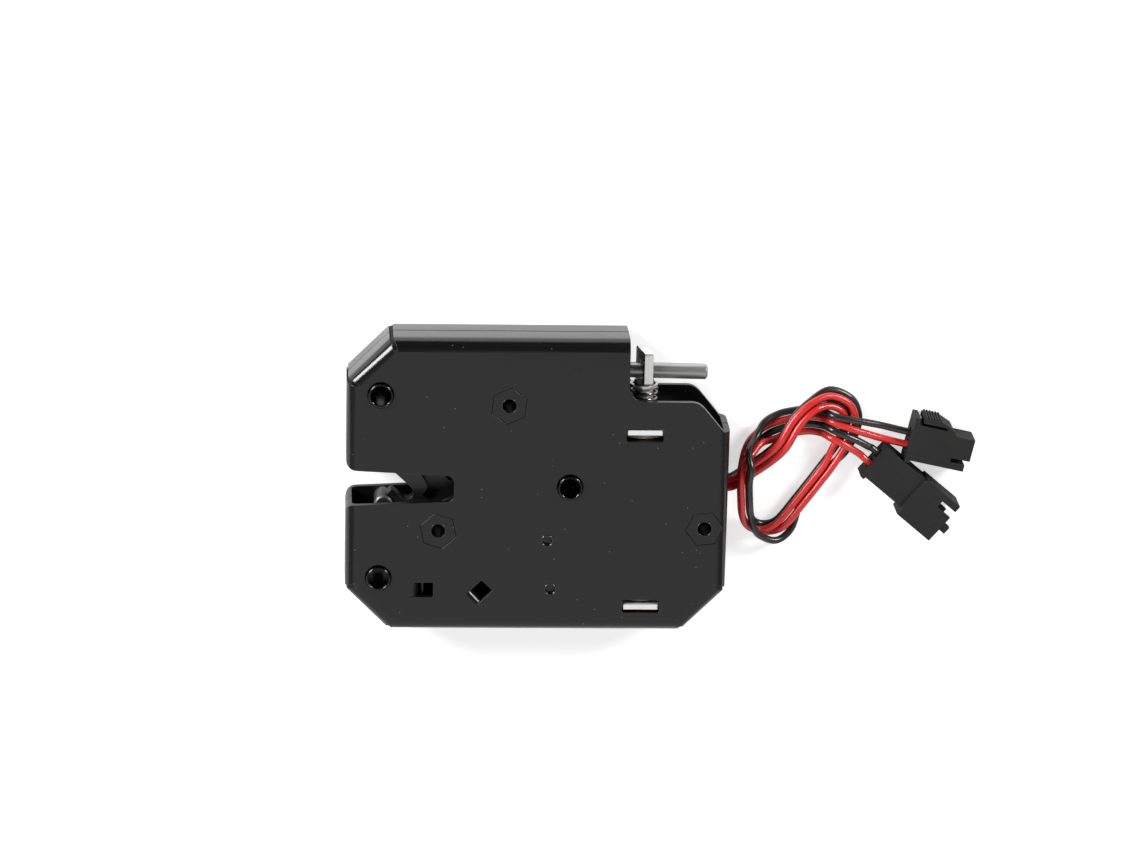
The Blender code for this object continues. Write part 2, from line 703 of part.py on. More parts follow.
def make_front_shell():
    """Front half: face, flanges, all openings, two lanced tabs and two pips."""
    shell = add("front_shell", folded_shell(True), BLACK_PAINT)
    cutters = shared_cuts()
    for place, turn in HEX_PLACES:
        cutters.append(through(hexagon(place, HEX_ACROSS_CORNERS / 2 + PRESS_GAP, turn)))
    for root_x, root_y, turn in TAB_ROOTS:
        lance = rectangle(0.0, -LANCE_WIDTH / 2, LANCE_LENGTH, LANCE_WIDTH / 2, 0.2 * MM)
        cutters.append(through(turned_outline(lance, turn, (root_x, root_y))))
    for place in PIP_PLACES:
        cutters.append(prism(circle(place, PIP_DIAMETER / 2 + PRESS_GAP / 3, 16),
                             CASE_DEPTH - PIP_RECESS, 2 * CASE_DEPTH))
    cut(shell, *cutters)
    joined = [lanced_tab(*root) for root in TAB_ROOTS]
    for place in PIP_PLACES:
        joined.append(prism(circle(place, PIP_DIAMETER / 2, 16), FRONT_INNER - PIP_HEIGHT,
                            FRONT_INNER + (SHEET - PIP_RECESS) / 2))
    join(shell, *joined)


def make_rear_shell():
    """Rear cover: the mirror form, countersunk for three screws, bored for the post."""
    shell = add("rear_shell", folded_shell(False), BLACK_PAINT)
    cutters = [lead_exit_cut(), *shared_cuts()]
    head, hole = SCREW_HEAD / 2 + PRESS_GAP, SCREW_SHANK / 2 + GAP
    over = 0.1 * MM
    for place, _ in HEX_PLACES:
        sink = revolve([(0.0, -over), (head, -over), (head, over), (hole, SHEET * 0.95),
                        (hole, SHEET + over), (0.0, SHEET + over)])
        cutters.append(shifted(sink, *place))
    cutters.append(through(circle(POST_PLACE, POST_RIVET / 2 + PRESS_GAP)))
    cut(shell, *cutters)


def make_mounting_tube(name, place):
    """A spacer tube between the shells, its reduced necks through both sheets."""
    bore, neck, body = TUBE_BORE / 2, TUBE_NECK / 2, TUBE_BODY / 2
    top = CASE_DEPTH + TUBE_PROUD
    low, high = REAR_INNER + GAP, FRONT_INNER - GAP
    lip = 0.25 * MM
    tube = revolve([(bore, TAB_SINK), (neck, TAB_SINK), (neck, low), (body, low), (body, high),
                    (neck, high), (neck, top - lip), (neck - lip, top), (bore, top)], 32)
    add(name, shifted(tube, *place), ZINC)


def make_standoff(name, place, turn):
    """A hexagon-headed standoff, bored through for its screw."""
    standoff = revolve([(THREAD_BORE / 2, REAR_INNER + GAP), (SHANK_DIAMETER / 2, REAR_INNER + GAP),
                        (SHANK_DIAMETER / 2, FRONT_INNER + SHEET / 2),
                        (THREAD_BORE / 2, FRONT_INNER + SHEET / 2)])
    obj = add(name, shifted(standoff, *place), BLACK_PAINT)
    head = prism(hexagon(place, HEX_ACROSS_CORNERS / 2, turn), FRONT_INNER,
                 CASE_DEPTH - 0.05 * MM, [circle(place, THREAD_BORE / 2)])
    join(obj, head)


def make_cover_screw(name, place):
    """A countersunk screw with a cross recess, flush in the rear cover."""
    head, shank = SCREW_HEAD / 2, SCREW_SHANK / 2
    screw = revolve([(0.0, 0.1 * MM), (head, 0.1 * MM), (head, 0.2 * MM), (shank, SHEET * 0.95),
                     (shank, SCREW_LENGTH), (0.0, SCREW_LENGTH)], 20)
    obj = add(name, shifted(screw, *place), ZINC)
    arm, half = SCREW_RECESS / 2, SCREW_RECESS_SLOT / 2
    cross = [(arm, -half), (arm, half), (half, half), (half, arm), (-half, arm), (-half, half),
             (-arm, half), (-arm, -half), (-half, -half), (-half, -arm), (half, -arm), (half, -half)]
    cut(obj, prism(turned_outline(cross, 0.5, place), -MM, 0.7 * MM))


def make_stop_post():
    """A hollow-nosed post riveted in the rear sheet: the open hook rests on it."""
    low = REAR_INNER + GAP
    high = low + POST_LENGTH
    radius, rivet, bore = POST_DIAMETER / 2, POST_RIVET / 2, POST_BORE / 2
    lip = 0.3 * MM
    post = revolve([(0.0, TAB_SINK), (rivet, TAB_SINK), (rivet, low), (radius, low),
                    (radius, high - lip), (radius - lip, high), (bore, high),
                    (bore, high - 2 * MM), (0.0, high - 2.5 * MM)], 28)
    add("stop_post", shifted(post, *POST_PLACE), ZINC)


# Hook

def hook_place(point):
    """World place of a point drawn on the closed hook, at the open rest position."""
    return turned_outline([point], HOOK_TRAVEL, HOOK_PIVOT)[0]


def hook_outline():
    """The fork: hub, switch arm, finger with the locking sector, mouth and outer jaw."""
    half_mouth = MOUTH_WIDTH / 2
    half_arm = ARM_WIDTH / 2
    hub = HOOK_HUB
    pin_x, pin_y = ARM_REACH * math.cos(ARM_ANGLE), ARM_REACH * math.sin(ARM_ANGLE)
    tip = pin_x + half_arm
    right = half_mouth + FINGER_WIDTH
    sector_end = math.acos(half_mouth / SECTOR_RADIUS)
    inner = (SECTOR_INNER * math.cos(SECTOR_START), SECTOR_INNER * math.sin(SECTOR_START))
    post = turned_outline([(POST_PLACE[0] - HOOK_PIVOT[0], POST_PLACE[1] - HOOK_PIVOT[1])],
                          -HOOK_TRAVEL)[0]
    clearance = POST_DIAMETER / 2 + GAP
    start = math.asin((JAW_REACH - post[1]) / clearance)
    hub_round = arc((0.0, 0.0), hub, math.pi, 2 * math.pi - 0.4)
    arm = rounded([
        hub_round[-1], (hub + 0.3 * MM, pin_y - half_arm, 0.5 * MM),
        (tip, pin_y - half_arm, half_arm * 0.99), (tip, pin_y + half_arm, half_arm * 0.99),
        (right - 0.6 * MM, pin_y + half_arm, 0.8 * MM), (right, inner[1] - 0.5 * MM, 0.8 * MM), inner])
    lower = [(-hub, MOUTH_REACH - 2.6 * MM)] + hub_round[:-1] + arm
    sector = arc((0.0, 0.0), SECTOR_RADIUS, SECTOR_START, sector_end, 10)
    mouth = arc((0.0, MOUTH_REACH), half_mouth, 0.0, -math.pi, 10)
    seat = arc(post, clearance, start, math.radians(-68.0), 8)
    tip_round = arc((-half_mouth - 0.45 * MM, JAW_REACH - 0.45 * MM), 0.45 * MM, 0.0, math.pi / 2, 3)
    return lower + sector + mouth + tip_round + seat


def make_hook_plate():
    """The fork stamped from thick plate, with its pivot, spring, pin and rivet holes."""
    outline = turned_outline(hook_outline(), HOOK_TRAVEL, HOOK_PIVOT)
    holes = [circle(HOOK_PIVOT, SHANK_HOLE)]
    for place, diameter in ((hook_polar(SPRING_EYE_REACH, ARM_ANGLE), SPRING_WIRE),
                            (hook_polar(ARM_REACH, ARM_ANGLE), RIVET_SHANK),
                            (hook_place(FINGER_RIVET), RIVET_SHANK)):
        holes.append(circle(place, diameter / 2 + GAP, 12))
    plate = prism(outline, HOOK_LOW, HOOK_LOW + HOOK_THICK, holes)
    add("hook_plate", plate, DARK_STEEL, (*HOOK_PIVOT, HOOK_LOW))


def hook_polar(reach, angle):
    """World place at a reach and angle of the closed hook, at the rest position."""
    return hook_place((reach * math.cos(angle), reach * math.sin(angle)))


def make_finger_plate():
    """The second plate on the finger, with its rivet."""
    low = HOOK_LOW + HOOK_THICK + GAP
    high = low + FINGER_PLATE_THICK
    edge = MOUTH_WIDTH / 2
    outline = rounded([
        (edge + 0.15 * MM, FINGER_PLATE_START, 0.5 * MM), (4.0 * MM, FINGER_PLATE_START, 1.6 * MM),
        (4.95 * MM, 9.3 * MM, 3.5 * MM), (5.4 * MM, FINGER_PLATE_END, 0.6 * MM),
        (edge + 0.8 * MM, FINGER_PLATE_END, 0.6 * MM)])
    rivet_place = hook_place(FINGER_RIVET)
    plate = prism(turned_outline(outline, HOOK_TRAVEL, HOOK_PIVOT), low, high,
                  [circle(rivet_place, RIVET_SHANK / 2 + GAP, 12)])
    add("finger_plate", plate, DARK_STEEL, (*HOOK_PIVOT, low))
    shank = RIVET_SHANK / 2
    head = shank + 0.65 * MM
    top = high + GAP
    rivet = revolve([(0.0, HOOK_LOW + GAP), (shank, HOOK_LOW + GAP), (shank, top), (head, top),
                     (head, top + 0.3 * MM), (shank, top + 0.7 * MM), (0.0, top + 0.8 * MM)], 16)
    add("finger_rivet", shifted(rivet, *rivet_place), STEEL, (*HOOK_PIVOT, low))


def make_switch_pin():
    """The pin on the hook's arm that presses the lever of the micro switch."""
    low = HOOK_LOW + GAP
    shoulder = HOOK_LOW + HOOK_THICK + GAP
    shank, radius, lip = RIVET_SHANK / 2, SWITCH_PIN / 2, 0.2 * MM
    pin = revolve([(0.0, low), (shank, low), (shank, shoulder), (radius, shoulder),
                   (radius, SWITCH_PIN_TOP - lip), (radius - lip, SWITCH_PIN_TOP),
                   (0.0, SWITCH_PIN_TOP)], 20)
    place = hook_polar(ARM_REACH, ARM_ANGLE)
    add("switch_pin", shifted(pin, *place), STEEL, (*HOOK_PIVOT, low))


def make_bush(name, place, low, high, wall, finish):
    """A plain bush round a standoff."""
    bush = revolve([(SHANK_HOLE, low), (SHANK_HOLE + wall, low), (SHANK_HOLE + wall, high),
                    (SHANK_HOLE, high)])
    add(name, shifted(bush, *place), finish)


def hook_spring_path():
    """From the hook's spring hole up and round the standoff, out to the lanced tab."""
    radius = SPRING_RADIUS
    eye = hook_polar(SPRING_EYE_REACH, ARM_ANGLE)
    eye_angle = math.atan2(eye[1] - HOOK_PIVOT[1], eye[0] - HOOK_PIVOT[0])
    start = eye_angle + math.acos(radius / SPRING_EYE_REACH)
    end = math.pi + 2 * math.pi * SPRING_TURNS
    bend = SPRING_WIRE
    touch = (HOOK_PIVOT[0] + radius * math.cos(start), HOOK_PIVOT[1] + radius * math.sin(start))
    along = (Vector(touch) - Vector(eye)).normalized()
    points = [Vector((*eye, HOOK_LOW + HOOK_THICK * 0.4)), Vector((*eye, SPRING_LOW - bend))]
    for step in range(1, 4):
        angle = math.pi / 2 * step / 3
        flat = Vector(eye) + along * (bend * (1 - math.cos(angle)))
        points.append(Vector((*flat, SPRING_LOW - bend + bend * math.sin(angle))))
    points.append(Vector((*((Vector(eye) + Vector(touch)) / 2 + along * bend / 2), SPRING_LOW)))
    steps = 14 * SPRING_TURNS
    for step in range(steps + 1):
        share = step / steps
        angle = start + (end - start) * share
        points.append(Vector((HOOK_PIVOT[0] + radius * math.cos(angle),
                              HOOK_PIVOT[1] + radius * math.sin(angle),
                              SPRING_LOW + (SPRING_HIGH - SPRING_LOW) * share)))
    root_x, root_y, _ = TAB_ROOTS[0]
    rest_x = root_x + TAB_BEND + GAP + SPRING_WIRE / 2
    points.append(Vector((rest_x, root_y + TAB_WIDTH / 2, SPRING_HIGH)))
    points.append(Vector((rest_x + 0.05 * MM, root_y - TAB_WIDTH / 2 - SPRING_WIRE, SPRING_HIGH)))
    return points


# Release lever

def lever_outline():
    """The lever seen from its pivot: right arm to the ear, left arm to the locking nose."""
    away = (LEVER_PIVOT[0] - HOOK_PIVOT[0], LEVER_PIVOT[1] - HOOK_PIVOT[1])
    ride = SECTOR_RADIUS + GAP
    nose = [(x - away[0], y - away[1])
            for x, y in arc((0.0, 0.0), ride, NOSE_END, NOSE_START, 3)]
    rod_y = ROD_Y - LEVER_PIVOT[1]
    low, high = rod_y - EAR_WIDTH / 2, rod_y + EAR_WIDTH / 2
    plate_end = EAR_REACH - 2.6 * MM
    hub = LEVER_HUB
    upper = rounded([(plate_end, low), (plate_end, high), (hub + 2 * MM, high - 3.2 * MM, 5 * MM),
                     (-hub * 0.5, hub * 1.2, 3 * MM), (nose[0][0] - 1.2 * MM, nose[0][1] + 4 * MM, 1.5 * MM),
                     nose[0]])
    lower = rounded([nose[-1], (nose[-1][0] + 0.6 * MM, nose[-1][1] + 2 * MM, 1.0 * MM),
                     (-hub * 0.35, -hub, 2.5 * MM), (hub * 0.6, -hub, 3 * MM), (plate_end, low)])
    return upper + nose[1:-1] + lower[:-1]


def make_pawl_lever():
    """The lever plate with its ear folded up at the right end."""
    plate = prism(turned_outline(lever_outline(), 0.0, LEVER_PIVOT), LEVER_LOW,
                  LEVER_LOW + LEVER_THICK, [circle(LEVER_PIVOT, SHANK_HOLE)])
    lever = add("pawl_lever", plate, DARK_STEEL, (*LEVER_PIVOT, LEVER_LOW))
    outer = LEVER_PIVOT[0] + EAR_REACH
    inner = outer - LEVER_THICK
    start = outer - 3.4 * MM
    high = LEVER_LOW + LEVER_THICK
    side = rounded([(start, LEVER_LOW), (outer, LEVER_LOW, LEVER_THICK), (outer, EAR_TOP, 0.4 * MM),
                    (inner, EAR_TOP, 0.4 * MM), (inner, high, 0.4 * MM), (start, high)])
    ear = prism(side, ROD_Y - EAR_WIDTH / 2, ROD_Y + EAR_WIDTH / 2)
    moved(ear, Matrix(((1, 0, 0, 0), (0, 0, 1, 0), (0, 1, 0, 0), (0, 0, 0, 1))))
    bmesh.ops.recalc_face_normals(ear, faces=ear.faces)
    join(lever, ear)
    socket = prism(circle((0.0, 0.0), ROD_SPIGOT / 2 + GAP, 16), 0.0, LONG)
    moved(socket, ALONG_X)
    cut(lever, shifted(socket, outer - EAR_SOCKET, rod_height(outer), MIDDLE))


def rod_height(x):
    """Y of the rod's axis at a place along X."""
    return ROD_Y + (x - COIL_X) * math.tan(ROD_TILT)


def make_release_rod():
    """The rod with its spigot in the ear and a chamfered free end."""
    start = LEVER_PIVOT[0] + EAR_REACH + GAP
    length = ROD_END_X - start
    radius, spigot = ROD_DIAMETER / 2, ROD_SPIGOT / 2
    deep = EAR_SOCKET - GAP
    rod = revolve([(0.0, -GAP - deep), (spigot, -GAP - deep), (spigot, 0.0), (radius, 0.0),
                   (radius, length - ROD_CHAMFER), (radius - ROD_CHAMFER, length), (0.0, length)], 24)
    moved(rod, Matrix.Rotation(ROD_TILT, 4, "Z") @ ALONG_X)
    add("release_rod", shifted(rod, start, rod_height(start), MIDDLE), STEEL, (*LEVER_PIVOT, MIDDLE))


# Solenoid

def make_solenoid_frame():
    """A strip folded to a channel, with tabs that enter the slots of both shells."""
    left = COIL_X - FRAME_WIDTH / 2
    right = COIL_X + FRAME_WIDTH / 2
    inner = FRAME_BEND - FRAME_SHEET
    outline = rounded([
        (right, FRAME_BOTTOM_Y), (right, FRAME_BOTTOM_Y + FRAME_SHEET),
        (left + FRAME_SHEET, FRAME_BOTTOM_Y + FRAME_SHEET, inner),
        (left + FRAME_SHEET, FRAME_TOP_Y - FRAME_SHEET, inner),
        (right, FRAME_TOP_Y - FRAME_SHEET), (right, FRAME_TOP_Y),
        (left, FRAME_TOP_Y, FRAME_BEND), (left, FRAME_BOTTOM_Y, FRAME_BEND)])
    frame = add("solenoid_frame", prism(outline, TAB_SINK, CASE_DEPTH - TAB_SINK), ZINC)
    cutters = []
    for low, high in ((-MM, REAR_INNER + GAP), (FRONT_INNER - GAP, CASE_DEPTH + MM)):
        for x_low, x_high in ((left - MM, COIL_X - FRAME_TAB / 2), (COIL_X + FRAME_TAB / 2, right + MM)):
            cutters.append(box((x_low, FRAME_BOTTOM_Y - MM, low), (x_high, FRAME_TOP_Y + MM, high)))
    for radius, y_low, y_high in ((PLUNGER_NECK / 2 + GAP, 0.0, FRAME_TOP_Y + MM),
                                  (CORE_RIVET / 2 + GAP, FRAME_BOTTOM_Y - MM, CORE_TOP_Y)):
        bore = prism(circle((0.0, 0.0), radius), 0.0, y_high - y_low)
        cutters.append(shifted(moved(bore, ALONG_Y), COIL_X, y_low, MIDDLE))
    cut(frame, *cutters)


def upright(profile, count=24):
    """A turned solid on the solenoid's axis, its heights measured along Y."""
    return shifted(moved(revolve(profile, count), ALONG_Y), COIL_X, 0.0, MIDDLE)


def make_bobbin_and_winding():
    """The nylon bobbin between the frame's plates and the taped winding on it."""
    low = FRAME_BOTTOM_Y + FRAME_SHEET + GAP
    high = FRAME_TOP_Y - FRAME_SHEET - GAP
    bore = PLUNGER_BODY / 2 + GAP
    tube = bore + BOBBIN_WALL
    flange = BOBBIN_FLANGE / 2
    thick = BOBBIN_FLANGE_THICK
    add("bobbin", upright([(bore, low), (flange, low), (flange, low + thick), (tube, low + thick),
                           (tube, high - thick), (flange, high - thick), (flange, high), (bore, high)]),
        WHITE_NYLON)
    start, end = low + thick + GAP, high - thick - GAP
    add("coil_winding", upright([(tube + PRESS_GAP, start), (WINDING_DIAMETER / 2, start),
                                 (WINDING_DIAMETER / 2, end), (tube + PRESS_GAP, end)]), COPPER_TAPE)


def make_fixed_core():
    """The pole piece at the closed end, riveted through the frame."""
    low = FRAME_BOTTOM_Y + FRAME_SHEET + GAP
    body, rivet = PLUNGER_BODY / 2, CORE_RIVET / 2
    end = FRAME_BOTTOM_Y - 0.8 * MM
    add("fixed_core", upright([(0.0, end), (rivet - 0.2 * MM, end), (rivet, end + 0.2 * MM), (rivet, low),
                               (body, low), (body, CORE_TOP_Y - 0.3 * MM), (body - 0.3 * MM, CORE_TOP_Y),
                               (0.0, CORE_TOP_Y)]), NICKEL)


def make_plunger():
    """The plunger, turned, with its end milled to a blade that carries the rod."""
    body, neck = PLUNGER_BODY / 2, PLUNGER_NECK / 2
    edge = 0.3 * MM
    overlap = 0.5 * MM
    plunger = add("plunger", upright([
        (0.0, PLUNGER_LOW_Y), (body - edge, PLUNGER_LOW_Y), (body, PLUNGER_LOW_Y + edge),
        (body, PLUNGER_SHOULDER_Y - edge), (body - edge, PLUNGER_SHOULDER_Y),
        (neck, PLUNGER_SHOULDER_Y), (neck, BLADE_BOTTOM_Y + overlap), (0.0, BLADE_BOTTOM_Y + overlap)]),
        NICKEL, (COIL_X, 0.0, MIDDLE))
    half = BLADE_WIDTH / 2
    face = rounded([(-half, BLADE_BOTTOM_Y, 0.4 * MM), (half, BLADE_BOTTOM_Y, 0.4 * MM),
                    (half, BLADE_TOP_Y, 0.5 * MM), (-half, BLADE_TOP_Y, 0.5 * MM)])
    blade = prism(face, -BLADE_THICK / 2, BLADE_THICK / 2, [circle((0.0, ROD_Y), BLADE_HOLE / 2)])
    quarter = Matrix.Rotation(math.pi / 2 + BLADE_TURN, 4, "Y")
    join(plunger, shifted(moved(blade, quarter), COIL_X, 0.0, MIDDLE))
    high = BLADE_BOTTOM_Y - GAP
    add("plunger_washer", upright([(neck + GAP, high - WASHER_THICK),
                                   (WASHER_DIAMETER / 2, high - WASHER_THICK),
                                   (WASHER_DIAMETER / 2, high), (neck + GAP, high)], 28),
        NICKEL, (COIL_X, 0.0, MIDDLE))


def return_spring_path():
    """A compression spring with a closed turn at each end, between frame and washer."""
    low = FRAME_TOP_Y + GAP + RETURN_WIRE / 2
    high = BLADE_BOTTOM_Y - GAP - WASHER_THICK - GAP - RETURN_WIRE / 2
    dead = RETURN_WIRE * 1.25
    active = (high - low - 2 * dead) / (RETURN_TURNS - 2)
    radius = (RETURN_DIAMETER - RETURN_WIRE) / 2
    steps = 12 * RETURN_TURNS
    points = []
    for step in range(steps + 1):
        turn = RETURN_TURNS * step / steps
        height = low + min(turn, 1.0) * dead
        height += max(0.0, min(turn, RETURN_TURNS - 1.0) - 1.0) * active
        height += max(0.0, turn - (RETURN_TURNS - 1.0)) * dead
        angle = 2 * math.pi * turn
        points.append((COIL_X + radius * math.cos(angle), height, MIDDLE + radius * math.sin(angle)))
    return points


# Micro switch

def switch_matrix():
    """Frame of the switch: origin midway between the pips, Y from pip to pip."""
    first, second = Vector(PIP_PLACES[0]), Vector(PIP_PLACES[1])
    along = first - second
    middle = (first + second) / 2
    turn = math.atan2(along.y, along.x) - math.pi / 2
    return Matrix.Translation((middle.x, middle.y, 0.0)) @ Matrix.Rotation(turn, 4, "Z")


def make_switch():
    """Housing, strip lever, button and three solder terminals."""
    frame = switch_matrix()
    spacing = (Vector(PIP_PLACES[0]) - Vector(PIP_PLACES[1])).length / 2
    mid_z = (SWITCH_LOW + SWITCH_HIGH) / 2
    outline = rectangle(SWITCH_LEFT, -SWITCH_HALF, SWITCH_RIGHT, SWITCH_HALF, 0.6 * MM)
    housing = add("switch_housing", moved(prism(outline, SWITCH_LOW, SWITCH_HIGH), frame), BLACK_PLASTIC)
    cutters = [prism(circle((0.0, side * spacing), PIP_DIAMETER / 2 + GAP, 16),
                     FRONT_INNER - PIP_HEIGHT - GAP, CASE_DEPTH) for side in (-1, 1)]
    for place in TERMINAL_PLACES.values():
        half = TERMINAL_THICK / 2 + GAP
        wide = TERMINAL_WIDTH / 2 + GAP
        cutters.append(box((SWITCH_RIGHT - TERMINAL_SEAT - GAP, place - half, mid_z - wide),
                           (SWITCH_RIGHT + MM, place + half, mid_z + wide)))
    button_hole = prism(circle((0.0, 0.0), BUTTON_DIAMETER / 2 + GAP, 16), 0.0, BUTTON_LENGTH + MM)
    cutters.append(shifted(moved(button_hole, ALONG_X), SWITCH_LEFT - MM, BUTTON_Y, mid_z))
    hinge_x, hinge_y = STRIP_HINGE
    cutters.append(box((SWITCH_LEFT - MM, hinge_y - 0.6 * MM, mid_z - STRIP_WIDTH / 2 - GAP),
                       (hinge_x + STRIP_FOOT + GAP, hinge_y + 0.6 * MM, mid_z + STRIP_WIDTH / 2 + GAP)))
    cut(housing, *[moved(cutter, frame) for cutter in cutters])

    half = STRIP_THICK / 2
    strip = turned_outline([(-half, -half), (STRIP_FOOT, -half), (STRIP_FOOT, half), (half, half),
                            (half, STRIP_LENGTH), (-half, STRIP_LENGTH)], STRIP_LEAN)
    strip = [(hinge_x + x, hinge_y + y) for x, y in strip]
    lever = prism(strip, mid_z - STRIP_WIDTH / 2, mid_z + STRIP_WIDTH / 2)
    hinge = frame @ Vector((hinge_x, hinge_y, mid_z))
    add("switch_lever", moved(lever, frame), SPRING_STEEL, hinge)

    touch = hinge_x - (BUTTON_Y - hinge_y) * math.tan(STRIP_LEAN) + half + GAP
    radius, lip = BUTTON_DIAMETER / 2, 0.25 * MM
    button = revolve([(0.0, 0.0), (radius - lip, 0.0), (radius, lip), (radius, BUTTON_LENGTH),
                      (0.0, BUTTON_LENGTH)], 16)
    button = shifted(moved(button, ALONG_X), touch, BUTTON_Y, mid_z)
    add("switch_button", moved(button, frame), WHITE_NYLON, frame @ Vector((touch, BUTTON_Y, mid_z)))

    for name, place in TERMINAL_PLACES.items():
        wide = TERMINAL_WIDTH / 2
        tip = TERMINAL_SEAT + TERMINAL_LENGTH
        face = rectangle(0.0, -wide, tip, wide, 0.5 * MM)
        blade = prism(face, -TERMINAL_THICK / 2, TERMINAL_THICK / 2,
                      [circle((tip - 1.4 * MM, 0.0), TERMINAL_HOLE / 2, 12)])
        moved(blade, Matrix.Rotation(math.pi / 2, 4, "X"))
        shifted(blade, SWITCH_RIGHT - TERMINAL_SEAT, place, mid_z)
        add(name, moved(blade, frame), TINNED)


# Leads and plugs

# How the four leads lie beside each other: left of the bundle's middle line and above
# its lowest lead, in mm, for the coil's black and red and the switch's black and red
LAYS = {
    "square": ((0.78, 0.0), (0.78, 1.62), (-0.78, 0.0), (-0.78, 1.62)),
    "opening": ((1.4, 0.0), (0.55, 1.45), (-0.78, 0.0), (-1.5, 1.45)),
    "leaving": ((2.4, 0.5), (0.8, 1.45), (-0.78, 0.0), (-0.75, 1.6)),
    "rising": ((2.4, 1.9), (0.85, 0.5), (-0.78, 0.0), (-0.55, 1.6)),
    "crossing": ((0.8, 3.0), (0.8, 0.0), (-0.8, 0.0), (0.05, 1.55)),
    "landing": ((-0.4, 3.3), (0.8, 0.0), (-0.8, 0.0), (0.5, 1.7)),
    "swapped": ((-0.78, 1.75), (0.78, 0.0), (-0.78, 0.0), (0.78, 1.75)),
    "returning": ((-0.8, 3.3), (0.78, 0.0), (-0.78, 0.0), (0.55, 1.75)),
    "returned": ((0.6, 3.4), (0.78, 0.0), (-0.78, 0.0), (-0.6, 1.85)),
    "stacked": ((0.78, 1.8), (0.78, 0.0), (-0.78, 0.0), (-0.85, 1.85)),
    "settling": ((2.0, 1.1), (0.76, 0.0), (-0.76, 0.0), (-2.0, 0.85)),
    "flat": ((2.25, 0.0), (0.75, 0.0), (-0.75, 0.0), (-2.25, 0.0)),
}

# Middle line of the bundle, from the lead exit once and a quarter round to where the
# pairs part: X, Y and the height of the lowest lead, in mm, and how the leads lie
BUNDLE = (
    (38.6, -1.5, 2.3, "square"), (41.4, 0.2, 1.4, "square"), (45.0, 3.2, 2.4, "square"),
    (47.4, 6.2, 3.8, "square"), (49.9, 10.6, 3.4, "square"), (53.0, 13.6, 2.7, "square"),
    (56.4, 14.9, 1.4, "opening"), (59.8, 13.4, 0.9, "opening"), (61.0, 10.6, 0.75, "opening"),
    (60.4, 7.4, 0.75, "opening"), (58.7, 4.2, 0.75, "opening"), (56.5, 1.1, 0.75, "square"),
    (53.9, -2.6, 0.75, "square"), (51.0, -6.6, 0.75, "square"), (48.3, -10.2, 0.75, "leaving"),
    (46.3, -11.6, 0.75, "rising"), (44.0, -11.8, 0.8, "crossing"), (42.0, -10.7, 1.4, "landing"),
    (40.9, -8.2, 3.1, "swapped"), (40.4, -4.4, 4.9, "swapped"), (40.2, -0.8, 5.4, "swapped"),
    (40.4, 2.2, 4.8, "returning"), (41.3, 4.9, 2.9, "returned"), (42.9, 6.7, 1.5, "stacked"),
    (45.0, 8.1, 0.8, "settling"), (47.6, 9.1, 0.75, "flat"), (50.2, 9.7, 0.75, "flat"),
    (52.8, 10.0, 0.75, "flat"),
)
BUNDLE_START = (36.6, -1.7)
BUNDLE_END = (55.8, 10.0)

# Each lead's own points before and after the bundle, in mm, its plug and the plug's side
LEADS = {
    "coil_lead_black": {
        "finish": BLACK_PVC,
        "before": ((25.5, 4.2, 5.8), (27.8, 4.0, 5.6), (31.4, 1.3, 4.4), (34.0, -0.4, 3.6),
                   (36.6, -0.85, 3.3)),
        "after": ((55.4, 12.0, 1.8), (57.2, 11.6, 3.7), (59.6, 11.2, 4.0), (62.6, 10.6, 3.7),
                  (66.6, 9.7, 3.1)),
        "plug": "plug",
        "side": 1,
    },
    "coil_lead_red": {
        "finish": RED_PVC,
        "before": ((25.5, 2.0, 7.6), (27.5, 2.0, 7.4), (31.0, 0.4, 6.4), (34.0, -0.7, 5.3),
                   (36.6, -0.85, 4.95)),
        "after": ((55.4, 10.6, 1.6), (57.3, 10.2, 3.4), (59.6, 9.5, 3.9), (62.8, 8.4, 3.6),
                  (66.8, 7.1, 3.1)),
        "plug": "plug",
        "side": -1,
    },
    "switch_lead_black": {
        "finish": BLACK_PVC,
        "before": ((10.6, -22.9, 8.1), (11.3, -24.2, 6.2), (12.6, -25.7, 4.0), (15.0, -26.2, 3.2),
                   (19.0, -26.2, 3.2), (23.5, -26.2, 3.2), (26.4, -25.6, 3.2), (28.1, -23.0, 3.2),
                   (28.3, -18.0, 3.2), (28.3, -12.0, 3.2), (28.4, -7.5, 3.2), (29.3, -4.4, 3.2),
                   (31.8, -2.8, 3.3), (36.6, -2.55, 3.3)),
        "after": ((55.4, 9.1, 1.6), (57.2, 8.7, 3.4), (59.3, 7.9, 3.9), (62.0, 6.7, 3.6),
                  (64.4, 5.3, 3.1)),
        "plug": "socket",
        "side": 1,
    },
    "switch_lead_red": {
        "finish": RED_PVC,
        "before": ((9.9, -14.5, 8.9), (11.4, -15.0, 9.4), (12.2, -17.5, 10.0), (12.3, -21.5, 10.2),
                   (12.8, -24.6, 10.2), (15.2, -26.2, 10.2), (19.0, -26.2, 10.2), (23.5, -26.2, 10.2),
                   (26.4, -25.6, 10.2), (28.1, -23.0, 10.0), (28.3, -18.0, 8.8), (28.3, -12.0, 7.2),
                   (28.4, -7.5, 6.0), (29.3, -4.4, 5.4), (31.8, -2.8, 5.0), (36.6, -2.55, 4.95)),
        "after": ((55.2, 7.6, 1.6), (56.9, 7.1, 3.4), (58.8, 6.3, 3.9), (61.0, 5.0, 3.6),
                  (62.8, 3.7, 3.1)),
        "plug": "socket",
        "side": -1,
    },
}


def plug_matrix(plug):
    """Frame of a plug: X from its wire end along it, Y across it, Z up."""
    place, turn = (PLUG_PLACE, PLUG_TURN) if plug == "plug" else (SOCKET_PLACE, SOCKET_TURN)
    return Matrix.Translation((*place, 0.0)) @ Matrix.Rotation(turn, 4, "Z")


